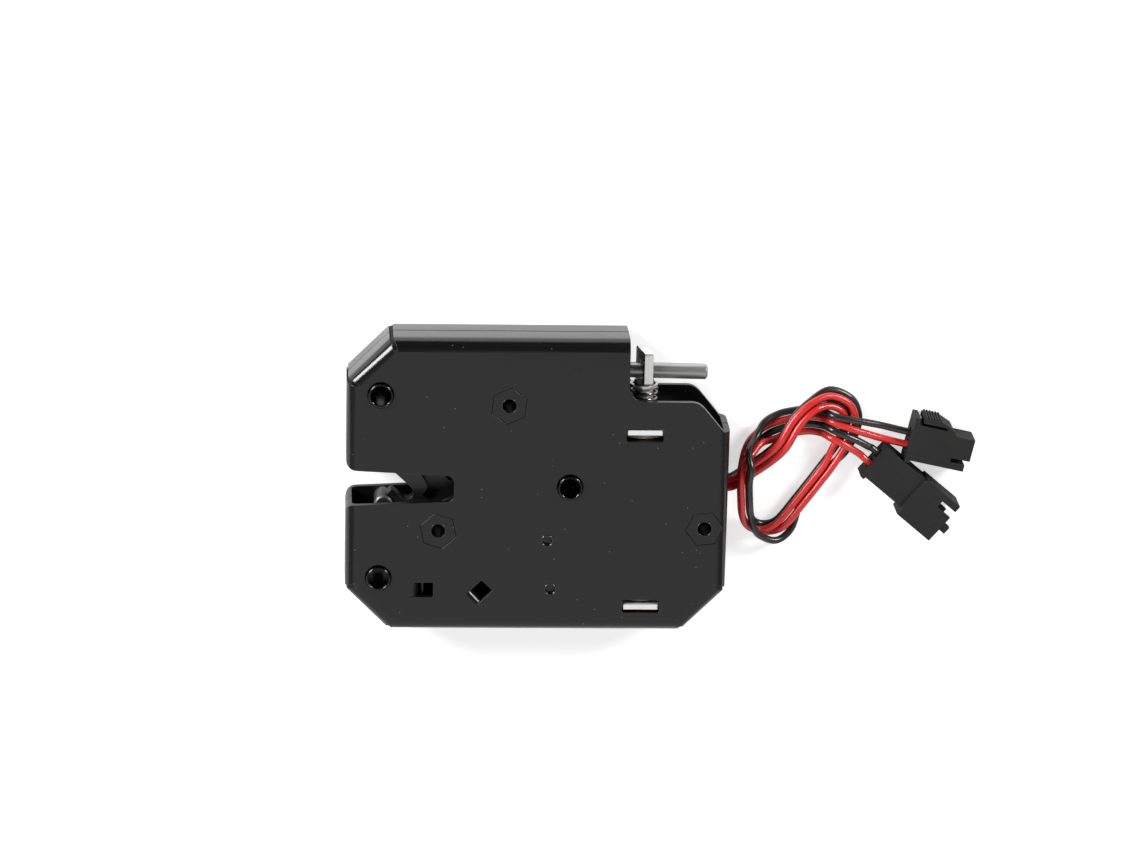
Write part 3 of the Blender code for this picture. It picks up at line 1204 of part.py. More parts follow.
def lead_route(place, lead):
    """A lead's chosen points, from inside the case through the bundle and into its plug."""
    points = [Vector(point) * MM for point in lead["before"]]
    line = [Vector(BUNDLE_START), *[Vector(station[:2]) for station in BUNDLE], Vector(BUNDLE_END)]
    for index, (x, y, height, lay) in enumerate(BUNDLE):
        along = (line[index + 2] - line[index]).normalized()
        left, above = LAYS[lay][place]
        points.append(Vector((x - along.y * left, y + along.x * left, height + above)) * MM)
    points += [Vector(point) * MM for point in lead["after"]]
    frame = plug_matrix(lead["plug"])
    across = lead["side"] * CONTACT_PITCH / 2
    for reach in (-1.5 * MM, CAVITY_DEPTH - GAP):
        points.append(frame @ Vector((reach, across, CONTACT_HEIGHT)))
    return points


def smooth_route(points, spacing):
    """Evenly spaced points on a smooth curve through the given ones."""
    ends = [points[0] * 2 - points[1], *points, points[-1] * 2 - points[-2]]
    fine = []
    for before, start, end, after in zip(ends, ends[1:], ends[2:], ends[3:]):
        for step in range(12):
            t = step / 12
            fine.append(start * 0.5 * (2 - 5 * t ** 2 + 3 * t ** 3)
                        + end * 0.5 * (t + 4 * t ** 2 - 3 * t ** 3)
                        + before * 0.5 * (-t + 2 * t ** 2 - t ** 3)
                        + after * 0.5 * (-t ** 2 + t ** 3))
    fine.append(points[-1])
    lengths = [0.0]
    for first, second in zip(fine, fine[1:]):
        lengths.append(lengths[-1] + (second - first).length)
    count = round(lengths[-1] / spacing)
    result = []
    index = 0
    for step in range(count + 1):
        wanted = lengths[-1] * step / count
        while index < len(fine) - 2 and lengths[index + 1] < wanted:
            index += 1
        share = (wanted - lengths[index]) / (lengths[index + 1] - lengths[index])
        result.append(fine[index].lerp(fine[index + 1], share))
    return result


def make_leads():
    """Four leads as plain tubes."""
    for place, (name, lead) in enumerate(LEADS.items()):
        wire(name, smooth_route(lead_route(place, lead), LEAD_STEP), LEAD_DIAMETER, lead["finish"])


def cavity(start, end, side, diameter):
    """A round cavity along a plug, for a lead or a contact."""
    hole = prism(circle((0.0, 0.0), diameter / 2, 12), start, end)
    return shifted(moved(hole, ALONG_X), 0.0, side * CONTACT_PITCH / 2, CONTACT_HEIGHT)


def make_contact(name, plug, side, length, pin):
    """A crimped contact: a barrel at the lead's end and a thinner front."""
    barrel, front = CONTACT_DIAMETER / 2, PIN_DIAMETER / 2
    contact = revolve([(0.0, CAVITY_DEPTH), (barrel, CAVITY_DEPTH), (barrel, CAVITY_DEPTH + length),
                       (front, CAVITY_DEPTH + length + 0.3 * MM), (front, CAVITY_DEPTH + length + pin),
                       (0.0, CAVITY_DEPTH + length + pin + 0.3 * MM)], 12)
    moved(contact, ALONG_X)
    shifted(contact, 0.0, side * CONTACT_PITCH / 2, CONTACT_HEIGHT)
    add(name, moved(contact, plug_matrix(plug)), BRASS)


def make_plug():
    """The plug: a body with a ribbed latch lever at one side and a stepped nose."""
    frame = plug_matrix("plug")
    half, latch = PLUG_WIDTH / 2, PLUG_WIDTH / 2 + PLUG_LATCH_GAP
    top = latch + PLUG_LATCH_THICK
    pad_end = PLUG_LATCH_START + PLUG_LATCH_PAD
    nose = half - PLUG_NOSE_STEP
    short = PLUG_LENGTH - PLUG_NOSE_SHORT
    outline = [(0.0, -half - PLUG_LIP), (PLUG_FLANGE, -half - PLUG_LIP), (PLUG_FLANGE, -half)]
    outline += [(PLUG_BODY, -half), (short, -half), (short, nose - PLUG_TONGUE - PLUG_SLOT),
                (PLUG_BODY, nose - PLUG_TONGUE - PLUG_SLOT), (PLUG_BODY, nose - PLUG_TONGUE),
                (PLUG_LENGTH, nose - PLUG_TONGUE), (PLUG_LENGTH, nose), (PLUG_BODY, nose),
                (PLUG_BODY - 1.0 * MM, latch), (pad_end, top)]
    pitch = PLUG_LATCH_PAD / PLUG_RIBS
    for rib in range(PLUG_RIBS):
        right = pad_end - rib * pitch
        outline += [(right, top + PLUG_RIB_HEIGHT), (right - pitch / 2, top + PLUG_RIB_HEIGHT),
                    (right - pitch / 2, top)]
        if rib < PLUG_RIBS - 1:
            outline.append((right - pitch, top))
    root_start, root_end = PLUG_LATCH_ROOT
    outline += [(PLUG_LATCH_START, top), (PLUG_LATCH_START, latch), (PLUG_BODY - root_start, latch),
                (PLUG_BODY - root_end, half), (PLUG_FLANGE, half), (PLUG_FLANGE, top - 0.2 * MM),
                (0.0, top - 0.2 * MM)]
    housing = add("plug_housing", moved(prism(outline, 0.0, PLUG_HEIGHT), frame), BLACK_PLASTIC)
    cutters = [cavity(-MM, PLUG_BODY - PLUG_FLANGE, side, CAVITY_DIAMETER) for side in (-1, 1)]
    middle = nose - PLUG_TONGUE / 2
    for side in (-1, 1):
        across = middle + side * PLUG_TONGUE / 4
        cutters.append(box((PLUG_LENGTH - PLUG_SOCKET_DEPTH, across - PLUG_SOCKET / 2,
                            CONTACT_HEIGHT - PLUG_SOCKET / 2),
                           (PLUG_LENGTH + MM, across + PLUG_SOCKET / 2, CONTACT_HEIGHT + PLUG_SOCKET / 2)))
    cut(housing, *[moved(cutter, frame) for cutter in cutters])
    for name, side in (("plug_contact_black", 1), ("plug_contact_red", -1)):
        make_contact(name, "plug", side, *PLUG_CONTACT)


def make_socket():
    """The socket: a square body, and a wider shroud round two pins with side rails."""
    frame = plug_matrix("socket")
    half = SOCKET_WIDTH / 2
    low, high = SHROUD_SIDES
    rail = high - RAIL_WIDTH
    lip, lip_length = SOCKET_LIP
    outline = [(0.0, -half - lip), (lip_length, -half - lip), (lip_length, -half),
               (SOCKET_BODY, -half), (SOCKET_BODY, low), (SOCKET_LENGTH, low),
               (SOCKET_LENGTH, rail - RAIL_GAP), (SOCKET_LENGTH - RAIL_LENGTH, rail - RAIL_GAP),
               (SOCKET_LENGTH - RAIL_LENGTH, rail), (SOCKET_LENGTH, rail), (SOCKET_LENGTH, high),
               (SOCKET_BODY, high), (SOCKET_BODY, half), (0.0, half)]
    housing = add("socket_housing", moved(prism(outline, 0.0, SHROUD_HEIGHT), frame), BLACK_PLASTIC)
    mouth = SOCKET_LENGTH - SHROUD_DEPTH
    top = box((-MM, low - MM, SOCKET_HEIGHT), (SOCKET_BODY - GAP, high + MM, SHROUD_HEIGHT + MM))
    inside = box((mouth, low + SHROUD_WALL, SHROUD_WALL),
                 (SOCKET_LENGTH + MM, rail - SHROUD_WALL / 3, SHROUD_HEIGHT - SHROUD_WALL))
    leads = [cavity(-MM, mouth - SHROUD_WALL, side, CAVITY_DIAMETER) for side in (-1, 1)]
    pin_hole = PIN_DIAMETER + 2 * GAP
    pins = [cavity(CAVITY_DEPTH, mouth + MM, side, pin_hole) for side in (-1, 1)]
    for cutters in ([top, inside], leads, pins):
        cut(housing, *[moved(cutter, frame) for cutter in cutters])
    rib = box((mouth - SHROUD_WALL, LUG_SIDES[0], SHROUD_HEIGHT - LUG_DEPTH),
              (SOCKET_LENGTH + LUG_LENGTH, LUG_SIDES[1], SHROUD_HEIGHT - SHROUD_WALL / 3))
    join(housing, moved(rib, frame))
    for name, side in (("socket_contact_black", 1), ("socket_contact_red", -1)):
        make_contact(name, "socket", side, *SOCKET_CONTACT)


def build():
    for obj in list(bpy.data.objects):
        bpy.data.objects.remove(obj, do_unlink=True)
    make_front_shell()
    make_rear_shell()
    for name, place in TUBE_PLACES.items():
        make_mounting_tube(name, place)
    for name, (place, turn) in zip(("lever", "hook", "right"), HEX_PLACES):
        make_standoff(f"standoff_{name}", place, turn)
        make_cover_screw(f"cover_screw_{name}", place)
    make_stop_post()
    make_hook_plate()
    make_finger_plate()
    make_switch_pin()
    make_bush("hook_spacer", HOOK_PIVOT, REAR_INNER + GAP, HOOK_LOW - GAP, BUSH_WALL, BRASS)
    wire("hook_spring", hook_spring_path(), SPRING_WIRE, SPRING_STEEL, (*HOOK_PIVOT, SPRING_LOW))
    make_pawl_lever()
    lever_top = LEVER_LOW + LEVER_THICK + GAP
    make_bush("lever_spacer", LEVER_PIVOT, REAR_INNER + GAP, LEVER_LOW - GAP, BUSH_WALL, BRASS)
    make_bush("lever_collar", LEVER_PIVOT, lever_top, FRONT_INNER - GAP, BUSH_WALL, BRASS)
    make_release_rod()
    make_solenoid_frame()
    make_bobbin_and_winding()
    make_fixed_core()
    make_plunger()
    wire("return_spring", return_spring_path(), RETURN_WIRE, SPRING_STEEL, resolution=1)
    make_switch()
    make_plug()
    make_socket()
    make_leads()


build()
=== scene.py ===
# Solenoid cabinet lock: the finish of every surface, the leads, a few thin pieces, the
# camera and the studio. Sizes are in metres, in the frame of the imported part.

import math

import bmesh
import bpy
from mathutils import Matrix, Vector


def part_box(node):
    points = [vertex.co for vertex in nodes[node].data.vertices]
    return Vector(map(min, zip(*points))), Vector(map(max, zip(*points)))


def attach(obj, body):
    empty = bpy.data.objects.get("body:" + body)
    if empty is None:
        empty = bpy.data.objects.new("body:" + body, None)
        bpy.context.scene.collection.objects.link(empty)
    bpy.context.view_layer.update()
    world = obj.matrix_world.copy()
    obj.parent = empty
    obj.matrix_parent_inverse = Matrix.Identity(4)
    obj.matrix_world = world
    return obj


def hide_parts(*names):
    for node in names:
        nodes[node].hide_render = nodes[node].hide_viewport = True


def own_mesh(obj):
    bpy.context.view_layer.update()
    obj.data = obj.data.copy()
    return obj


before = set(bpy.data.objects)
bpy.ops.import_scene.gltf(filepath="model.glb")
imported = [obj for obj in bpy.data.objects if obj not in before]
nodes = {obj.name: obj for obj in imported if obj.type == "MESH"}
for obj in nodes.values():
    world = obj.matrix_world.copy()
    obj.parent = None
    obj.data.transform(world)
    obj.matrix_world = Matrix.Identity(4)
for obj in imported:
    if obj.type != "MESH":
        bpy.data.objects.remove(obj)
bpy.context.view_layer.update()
MM = 0.001


# Camera
# The photograph looks down on the front face, tilted 17 degrees towards the rod's
# side, through a long lens, so the rows of bores stay almost parallel.
LENS_LENGTH, SENSOR_WIDTH = 144.88, 36.0    # millimetres
NEAR_CLIP = 0.05
CAMERA_PLACE = (-0.044596, 0.263974, 0.843912)
CAMERA_RIGHT = Vector((0.99829, 0.02315, 0.05359))
CAMERA_UP = Vector((-0.00658, 0.95679, -0.29072))
CAMERA_BACK = Vector((-0.05801, 0.28987, 0.95531))
camera_data = bpy.data.cameras.new("camera")
camera_data.lens = LENS_LENGTH
camera_data.sensor_width = SENSOR_WIDTH
camera_data.clip_start = NEAR_CLIP
camera = bpy.data.objects.new("camera", camera_data)
camera_turn = Matrix((CAMERA_RIGHT, CAMERA_UP, CAMERA_BACK)).transposed()
camera.matrix_world = Matrix.Translation(CAMERA_PLACE) @ camera_turn.to_4x4()
bpy.context.scene.collection.objects.link(camera)
bpy.context.scene.camera = camera


# Leads
# Two limp pairs leave through the right wall, make a loop and a quarter together and
# end in the plugs. The points are those of the part's source.
LEAD_DIAMETER = 1.4 * MM
LEAD_STEPS = 6                     # points between two chosen ones
LEAD_SIDES = 5                     # bevel resolution of a sleeve
CONTACT_PITCH = 2.5 * MM
CONTACT_HEIGHT = 3.1 * MM
LEAD_APPROACH = 1.5 * MM           # straight stretch before its plug
LEAD_DEPTH = 2.7 * MM              # how far a lead goes into its plug
PLUG_FRAMES = {
    name: Matrix.Translation((x * MM, y * MM, 0)) @ Matrix.Rotation(math.radians(turn), 4, "Z")
    for name, x, y, turn in (("plug", 71.8, 7.2, -12), ("socket", 65.25, 3.2, -40))}
# The four leads at a station, in the order of LEADS: how far left of the bundle's line,
# and how far above its lowest lead, in millimetres
LAYS = {
    "square": ((0.78, 0.0), (0.78, 1.62), (-0.78, 0.0), (-0.78, 1.62)),
    "opening": ((1.4, 0.0), (0.55, 1.45), (-0.78, 0.0), (-1.5, 1.45)),
    "leaving": ((2.4, 0.5), (0.8, 1.45), (-0.78, 0.0), (-0.75, 1.6)),
    "rising": ((2.4, 1.9), (0.85, 0.5), (-0.78, 0.0), (-0.55, 1.6)),
    "crossing": ((0.8, 3.0), (0.8, 0.0), (-0.8, 0.0), (0.05, 1.55)),
    "landing": ((-0.4, 3.3), (0.8, 0.0), (-0.8, 0.0), (0.5, 1.7)),
    "swapped": ((-0.78, 1.75), (0.78, 0.0), (-0.78, 0.0), (0.78, 1.75)),
    "returning": ((-0.8, 3.3), (0.78, 0.0), (-0.78, 0.0), (0.55, 1.75)),
    "returned": ((0.6, 3.4), (0.78, 0.0), (-0.78, 0.0), (-0.6, 1.85)),
    "stacked": ((0.78, 1.8), (0.78, 0.0), (-0.78, 0.0), (-0.85, 1.85)),
    "settling": ((2.0, 1.1), (0.76, 0.0), (-0.76, 0.0), (-2.0, 0.85)),
    "flat": ((2.25, 0.0), (0.75, 0.0), (-0.75, 0.0), (-2.25, 0.0)),
}
# The bundle's stations: x, y, the lowest lead's height and the lay, in millimetres
BUNDLE = (
    (38.6, -1.5, 2.3, "square"), (41.4, 0.2, 1.4, "square"), (45.0, 3.2, 2.4, "square"),
    (47.4, 6.2, 3.8, "square"), (49.9, 10.6, 3.4, "square"), (53.0, 13.6, 2.7, "square"),
    (56.4, 14.9, 1.4, "opening"), (59.8, 13.4, 0.9, "opening"), (61.0, 10.6, 0.75, "opening"),
    (60.4, 7.4, 0.75, "opening"), (58.7, 4.2, 0.75, "opening"), (56.5, 1.1, 0.75, "square"),
    (53.9, -2.6, 0.75, "square"), (51.0, -6.6, 0.75, "square"), (48.3, -10.2, 0.75, "leaving"),
    (46.3, -11.6, 0.75, "rising"), (44.0, -11.8, 0.8, "crossing"), (42.0, -10.7, 1.4, "landing"),
    (40.9, -8.2, 3.1, "swapped"), (40.4, -4.4, 4.9, "swapped"), (40.2, -0.8, 5.4, "swapped"),
    (40.4, 2.2, 4.8, "returning"), (41.3, 4.9, 2.9, "returned"), (42.9, 6.7, 1.5, "stacked"),
    (45.0, 8.1, 0.8, "settling"), (47.6, 9.1, 0.75, "flat"), (50.2, 9.7, 0.75, "flat"),
    (52.8, 10.0, 0.75, "flat"),
)
BUNDLE_START = (36.6, -1.7)
BUNDLE_END = (55.8, 10.0)
# Each lead's length in metres, its own points before and after the bundle in millimetres,
# and its place in the plug
LEADS = {
    "coil_lead_black": {
        "length": 0.131,
        "before": ((25.5, 4.2, 5.8), (27.8, 4.0, 5.6), (31.4, 1.3, 4.4), (34.0, -0.4, 3.6),
                   (36.6, -0.85, 3.3)),
        "after": ((55.4, 12.0, 1.8), (57.2, 11.6, 3.7), (59.6, 11.2, 4.0), (62.6, 10.6, 3.7),
                  (66.6, 9.7, 3.1)),
        "plug": "plug",
        "side": 1,
    },
    "coil_lead_red": {
        "length": 0.126,
        "before": ((25.5, 2.0, 7.6), (27.5, 2.0, 7.4), (31.0, 0.4, 6.4), (34.0, -0.7, 5.3),
                   (36.6, -0.85, 4.95)),
        "after": ((55.4, 10.6, 1.6), (57.3, 10.2, 3.4), (59.6, 9.5, 3.9), (62.8, 8.4, 3.6),
                  (66.8, 7.1, 3.1)),
        "plug": "plug",
        "side": -1,
    },
    "switch_lead_black": {
        "length": 0.112,
        "before": ((10.6, -22.9, 8.1), (11.3, -24.2, 6.2), (12.6, -25.7, 4.0), (15.0, -26.2, 3.2),
                   (19.0, -26.2, 3.2), (23.5, -26.2, 3.2), (26.4, -25.6, 3.2), (28.1, -23.0, 3.2),
                   (28.3, -18.0, 3.2), (28.3, -12.0, 3.2), (28.4, -7.5, 3.2), (29.3, -4.4, 3.2),
                   (31.8, -2.8, 3.3), (36.6, -2.55, 3.3)),
        "after": ((55.4, 9.1, 1.6), (57.2, 8.7, 3.4), (59.3, 7.9, 3.9), (62.0, 6.7, 3.6),
                  (64.4, 5.3, 3.1)),
        "plug": "socket",
        "side": 1,
    },
    "switch_lead_red": {
        "length": 0.112,
        "before": ((9.9, -14.5, 8.9), (11.4, -15.0, 9.4), (12.2, -17.5, 10.0), (12.3, -21.5, 10.2),
                   (12.8, -24.6, 10.2), (15.2, -26.2, 10.2), (19.0, -26.2, 10.2),
                   (23.5, -26.2, 10.2), (26.4, -25.6, 10.2), (28.1, -23.0, 10.0),
                   (28.3, -18.0, 8.8), (28.3, -12.0, 7.2), (28.4, -7.5, 6.0), (29.3, -4.4, 5.4),
                   (31.8, -2.8, 5.0), (36.6, -2.55, 4.95)),
        "after": ((55.2, 7.6, 1.6), (56.9, 7.1, 3.4), (58.8, 6.3, 3.9), (61.0, 5.0, 3.6),
                  (62.8, 3.7, 3.1)),
        "plug": "socket",
        "side": -1,
    },
}


def tube(name, points):
    """A round lead along points, with closed ends."""
    curve = bpy.data.curves.new(name, "CURVE")
    curve.dimensions = "3D"
    curve.bevel_depth = 1.0
    curve.bevel_resolution = LEAD_SIDES
    curve.use_fill_caps = True
    spline = curve.splines.new("POLY")
    spline.points.add(len(points) - 1)
    for item, point in zip(spline.points, points):
        item.co = (*point, 1.0)
        item.radius = LEAD_DIAMETER / 2
    spline.use_smooth = True
    piece = bpy.data.objects.new(name, curve)
    bpy.context.scene.collection.objects.link(piece)
    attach(piece, "casing")
    return piece


def smooth_route(chosen):
    """One smooth curve through chosen points (Catmull-Rom), as a list of close points."""
    ends = [chosen[0] * 2 - chosen[1], *chosen, chosen[-1] * 2 - chosen[-2]]
    route = []
    for before, start, end, after in zip(ends, ends[1:], ends[2:], ends[3:]):
        for step in range(LEAD_STEPS):
            t = step / LEAD_STEPS
            route.append(start * 0.5 * (2 - 5 * t ** 2 + 3 * t ** 3)
                         + end * 0.5 * (t + 4 * t ** 2 - 3 * t ** 3)
                         + before * 0.5 * (-t + 2 * t ** 2 - t ** 3)
                         + after * 0.5 * (-t ** 2 + t ** 3))
    return route + [chosen[-1]]


leads = {}
middle = [Vector(BUNDLE_START), *[Vector(station[:2]) for station in BUNDLE], Vector(BUNDLE_END)]
for lane, (name, lead) in enumerate(LEADS.items()):
    chosen = [Vector(point) * MM for point in lead["before"]]
    exit_index = len(chosen) - 1
    for index, (x, y, height, lay) in enumerate(BUNDLE):
        along = (middle[index + 2] - middle[index]).normalized()
        left, above = LAYS[lay][lane]
        chosen.append(Vector((x - along.y * left, y + along.x * left, height + above)) * MM)
    chosen += [Vector(point) * MM for point in lead["after"]]
    for reach in (-LEAD_APPROACH, LEAD_DEPTH):
        across = lead["side"] * CONTACT_PITCH / 2
        chosen.append(PLUG_FRAMES[lead["plug"]] @ Vector((reach, across, CONTACT_HEIGHT)))
    route = smooth_route(chosen)
    split = exit_index * LEAD_STEPS
    inner = tube(f"{name}_inner", route[:split + 1])
    outer = tube(f"{name}_outer", route[split:])
    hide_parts(name)
    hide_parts(name)
    leads[name] = (inner, outer)


# Shared effects
# Node groups that several finishes use: fine grain with its bump, worn edges, dust
# specks and long brushed lines. All of them read the piece's own coordinates.
def group(name, inputs, outputs):
    """An empty node group with its sockets, and its input and output nodes."""
    tree = bpy.data.node_groups.new(name, "ShaderNodeTree")
    for label, kind, value in inputs:
        socket = tree.interface.new_socket(label, in_out="INPUT", socket_type=kind)
        socket.default_value = value
    for label, kind in outputs:
        tree.interface.new_socket(label, in_out="OUTPUT", socket_type=kind)
    return tree, tree.nodes.new("NodeGroupInput"), tree.nodes.new("NodeGroupOutput")


def node(tree, kind, **settings):
    """A node with its properties, and its inputs given by name or number."""
    made = tree.nodes.new(kind)
    for key, value in settings.items():
        if key == "links":
            for socket, source in value.items():
                tree.links.new(source, made.inputs[socket])
        elif key == "values":
            for socket, number in value.items():
                made.inputs[socket].default_value = number
        else:
            setattr(made, key, value)
    return made


FLOAT, VECTOR = "NodeSocketFloat", "NodeSocketVector"
EDGE_RADIUS = 0.12 * MM            # how far an edge looks rounded
PEEL_DEPTH, LINE_DEPTH = 0.4 * MM, 0.2 * MM

# Fine grain: soft unevenness plus a fine orange peel
grain, given, result = group("grain", [("Scale", FLOAT, 900.0), ("Height", FLOAT, 0.02),
                                       ("Edge", FLOAT, EDGE_RADIUS)],
                             [("Value", FLOAT), ("Normal", VECTOR)])
place = node(grain, "ShaderNodeTexCoord")
peel = node(grain, "ShaderNodeTexNoise", links={"Vector": place.outputs["Object"],
                                                "Scale": given.outputs["Scale"]},
            values={"Detail": 4.0, "Roughness": 0.55})
softened = node(grain, "ShaderNodeBevel", samples=4, links={"Radius": given.outputs["Edge"]})
bump = node(grain, "ShaderNodeBump", links={"Height": peel.outputs["Fac"],
                                            "Strength": given.outputs["Height"],
                                            "Normal": softened.outputs["Normal"]},
            values={"Distance": PEEL_DEPTH})
grain.links.new(peel.outputs["Fac"], result.inputs["Value"])
grain.links.new(bump.outputs["Normal"], result.inputs["Normal"])

# Edge mask: where the rounded normal leaves the face's own, for rubbed edges and painted highlight
edges, given, result = group("edges", [("Radius", FLOAT, 0.0002), ("Gain", FLOAT, 3.0)],
                             [("Value", FLOAT), ("Normal", VECTOR)])
geometry = node(edges, "ShaderNodeNewGeometry")
rounded = node(edges, "ShaderNodeBevel", samples=6, links={"Radius": given.outputs["Radius"]})
alike = node(edges, "ShaderNodeVectorMath", operation="DOT_PRODUCT",
             links={0: rounded.outputs["Normal"], 1: geometry.outputs["True Normal"]})
away = node(edges, "ShaderNodeMath", operation="SUBTRACT", links={1: alike.outputs["Value"]},
            values={0: 1.0})
gained = node(edges, "ShaderNodeMath", operation="MULTIPLY", use_clamp=True,
              links={0: away.outputs[0], 1: given.outputs["Gain"]})
edges.links.new(gained.outputs[0], result.inputs["Value"])
edges.links.new(rounded.outputs["Normal"], result.inputs["Normal"])

# Dust specks: small round cells, some of them filled
specks, given, result = group("specks", [("Scale", FLOAT, 700.0), ("Size", FLOAT, 0.1),
                                         ("Share", FLOAT, 0.06)], [("Value", FLOAT)])
place = node(specks, "ShaderNodeTexCoord")
cells = node(specks, "ShaderNodeTexVoronoi", links={"Vector": place.outputs["Object"],
                                                    "Scale": given.outputs["Scale"]})
chance = node(specks, "ShaderNodeSeparateColor", links={"Color": cells.outputs["Color"]})
chosen_cell = node(specks, "ShaderNodeMath", operation="LESS_THAN",
                   links={0: chance.outputs[0], 1: given.outputs["Share"]})
near = node(specks, "ShaderNodeMath", operation="LESS_THAN",
            links={0: cells.outputs["Distance"], 1: given.outputs["Size"]})
both = node(specks, "ShaderNodeMath", operation="MULTIPLY",
            links={0: chosen_cell.outputs[0], 1: near.outputs[0]})
specks.links.new(both.outputs[0], result.inputs["Value"])

# Brushed lines: noise drawn out along one direction
brushed, given, result = group("brushed", [("Stretch", VECTOR, (60.0, 3000.0, 3000.0)),
                                           ("Height", FLOAT, 0.05)],
                               [("Value", FLOAT), ("Normal", VECTOR)])
place = node(brushed, "ShaderNodeTexCoord")
drawn = node(brushed, "ShaderNodeVectorMath", operation="MULTIPLY",
             links={0: place.outputs["Object"], 1: given.outputs["Stretch"]})
lines = node(brushed, "ShaderNodeTexNoise", links={"Vector": drawn.outputs[0]},
             values={"Scale": 1.0, "Detail": 5.0, "Roughness": 0.6})
softened = node(brushed, "ShaderNodeBevel", samples=4, values={"Radius": EDGE_RADIUS})
bump = node(brushed, "ShaderNodeBump", links={"Height": lines.outputs["Fac"],
                                              "Strength": given.outputs["Height"],
                                              "Normal": softened.outputs["Normal"]},
            values={"Distance": LINE_DEPTH})
brushed.links.new(lines.outputs["Fac"], result.inputs["Value"])
brushed.links.new(bump.outputs["Normal"], result.inputs["Normal"])


def finish(name, colour, roughness, metallic=0.0):
    """A new material, with its tree and its Principled node."""
    material = bpy.data.materials.new(name)
    material.use_nodes = True
    tree = material.node_tree
    shader = tree.nodes["Principled BSDF"]
    shader.inputs["Base Color"].default_value = (*colour, 1.0)
    shader.inputs["Roughness"].default_value = roughness
    shader.inputs["Metallic"].default_value = metallic
    return material, tree, shader


def use(tree, shared, **values):
    """A shared effect placed in a material, with its inputs set."""
    placed = tree.nodes.new("ShaderNodeGroup")
    placed.node_tree = shared
    for label, value in values.items():
        placed.inputs[label].default_value = value
    return placed


def blend_colours(tree, factor, low, high):
    """Mix two colours, or a colour and a socket, by a factor."""
    mix = tree.nodes.new("ShaderNodeMix")
    mix.data_type = "RGBA"
    tree.links.new(factor, mix.inputs["Factor"])
    for label, value in (("A", low), ("B", high)):
        socket = next(item for item in mix.inputs if item.name == label and item.type == "RGBA")
        if isinstance(value, tuple):
            socket.default_value = (*value, 1.0)
        else:
            tree.links.new(value, socket)
    return next(item for item in mix.outputs if item.type == "RGBA")


def spread(tree, value, low, high):
    """Stretch a value between 0 and 1 to a range."""
    mapped = node(tree, "ShaderNodeMapRange", links={"Value": value},
                  values={"To Min": low, "To Max": high})
    return mapped.outputs["Result"]


def colour_and_gloss(tree, shader, value, colours, gloss):
    """Spread one value over a range of colours and a range of roughness."""
    tree.links.new(blend_colours(tree, value, *colours), shader.inputs["Base Color"])
    tree.links.new(spread(tree, value, *gloss), shader.inputs["Roughness"])


def mottled(name, base, scale, colours, gloss, height=None):
    """A finish with a soft mottle in colour and gloss, and in relief where a height is
    given. base is its plain colour, roughness and metallic value."""
    material, tree, shader = finish(name, *base)
    mottle = use(tree, grain, Scale=scale, Height=height or 0.0)
    colour_and_gloss(tree, shader, mottle.outputs["Value"], colours, gloss)
    if height:
        tree.links.new(mottle.outputs["Normal"], shader.inputs["Normal"])
    return material


def grey(level):
    """A neutral grey."""
    return (level, level, level)


def middle_of(name):
    """The middle of a node of the part."""
    low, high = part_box(name)
    return (low + high) / 2


def solid(name, mesh, *materials):
    """A piece from a finished bmesh, with its materials."""
    data = bpy.data.meshes.new(name)
    mesh.to_mesh(data)
    for material in materials:
        data.materials.append(material)
    piece = bpy.data.objects.new(name, data)
    bpy.context.scene.collection.objects.link(piece)
    return piece


def wire_ring(mesh, centre, out, up, radius, sides):
    """A ring of vertices round a wire's centre, in the plane of two directions."""
    turns = [math.tau * side / sides for side in range(sides)]
    return [mesh.verts.new(centre + (out * math.cos(turn) + up * math.sin(turn)) * radius)
            for turn in turns]


def bridge(mesh, here, after):
    """A band of faces between two closed rings of vertices."""
    for side in range(len(here)):
        following = (side + 1) % len(here)
        mesh.faces.new((here[side], after[side], after[following], here[following]))


# Fold shading: round and folded faces shade as one, and edges over FOLD_EDGE stay sharp
FOLD_EDGE = math.radians(28)
SAME_POINT = 1e-6                  # corners closer than this are one
FLAT_WEIGHT = 90                   # how far the largest faces set the normals
fold_shading = bpy.data.node_groups.new("fold_shading", "GeometryNodeTree")
for way in ("INPUT", "OUTPUT"):
    fold_shading.interface.new_socket("Geometry", in_out=way, socket_type="NodeSocketGeometry")
given = fold_shading.nodes.new("NodeGroupInput")
result = fold_shading.nodes.new("NodeGroupOutput")
plain = node(fold_shading, "GeometryNodeRemoveAttribute", links={"Geometry": given.outputs[0]},
             values={"Name": "custom_normal"})
joined = node(fold_shading, "GeometryNodeMergeByDistance", links={"Geometry": plain.outputs[0]},
              values={"Distance": SAME_POINT})
soft = node(fold_shading, "GeometryNodeSetShadeSmooth", domain="FACE",
            links={"Geometry": joined.outputs[0]}, values={"Shade Smooth": True})
angle = node(fold_shading, "GeometryNodeInputMeshEdgeAngle")
over = node(fold_shading, "FunctionNodeCompare", data_type="FLOAT", operation="GREATER_THAN",
            links={0: angle.outputs[0]}, values={1: FOLD_EDGE})
creased = node(fold_shading, "GeometryNodeSetShadeSmooth", domain="EDGE",
               links={"Geometry": soft.outputs[0], "Selection": over.outputs[0]},
               values={"Shade Smooth": False})
fold_shading.links.new(creased.outputs[0], result.inputs[0])


def dress(material, *names):
    """Give a finish to nodes of the part, with their round and folded faces shaded smooth."""
    for name in names:
        for item in nodes[name].material_slots:
            item.material = material
        nodes[name].modifiers.new("fold_shading", "NODES").node_group = fold_shading
        even = nodes[name].modifiers.new("even_normals", "WEIGHTED_NORMAL")
        even.keep_sharp = True
        even.weight = FLAT_WEIGHT
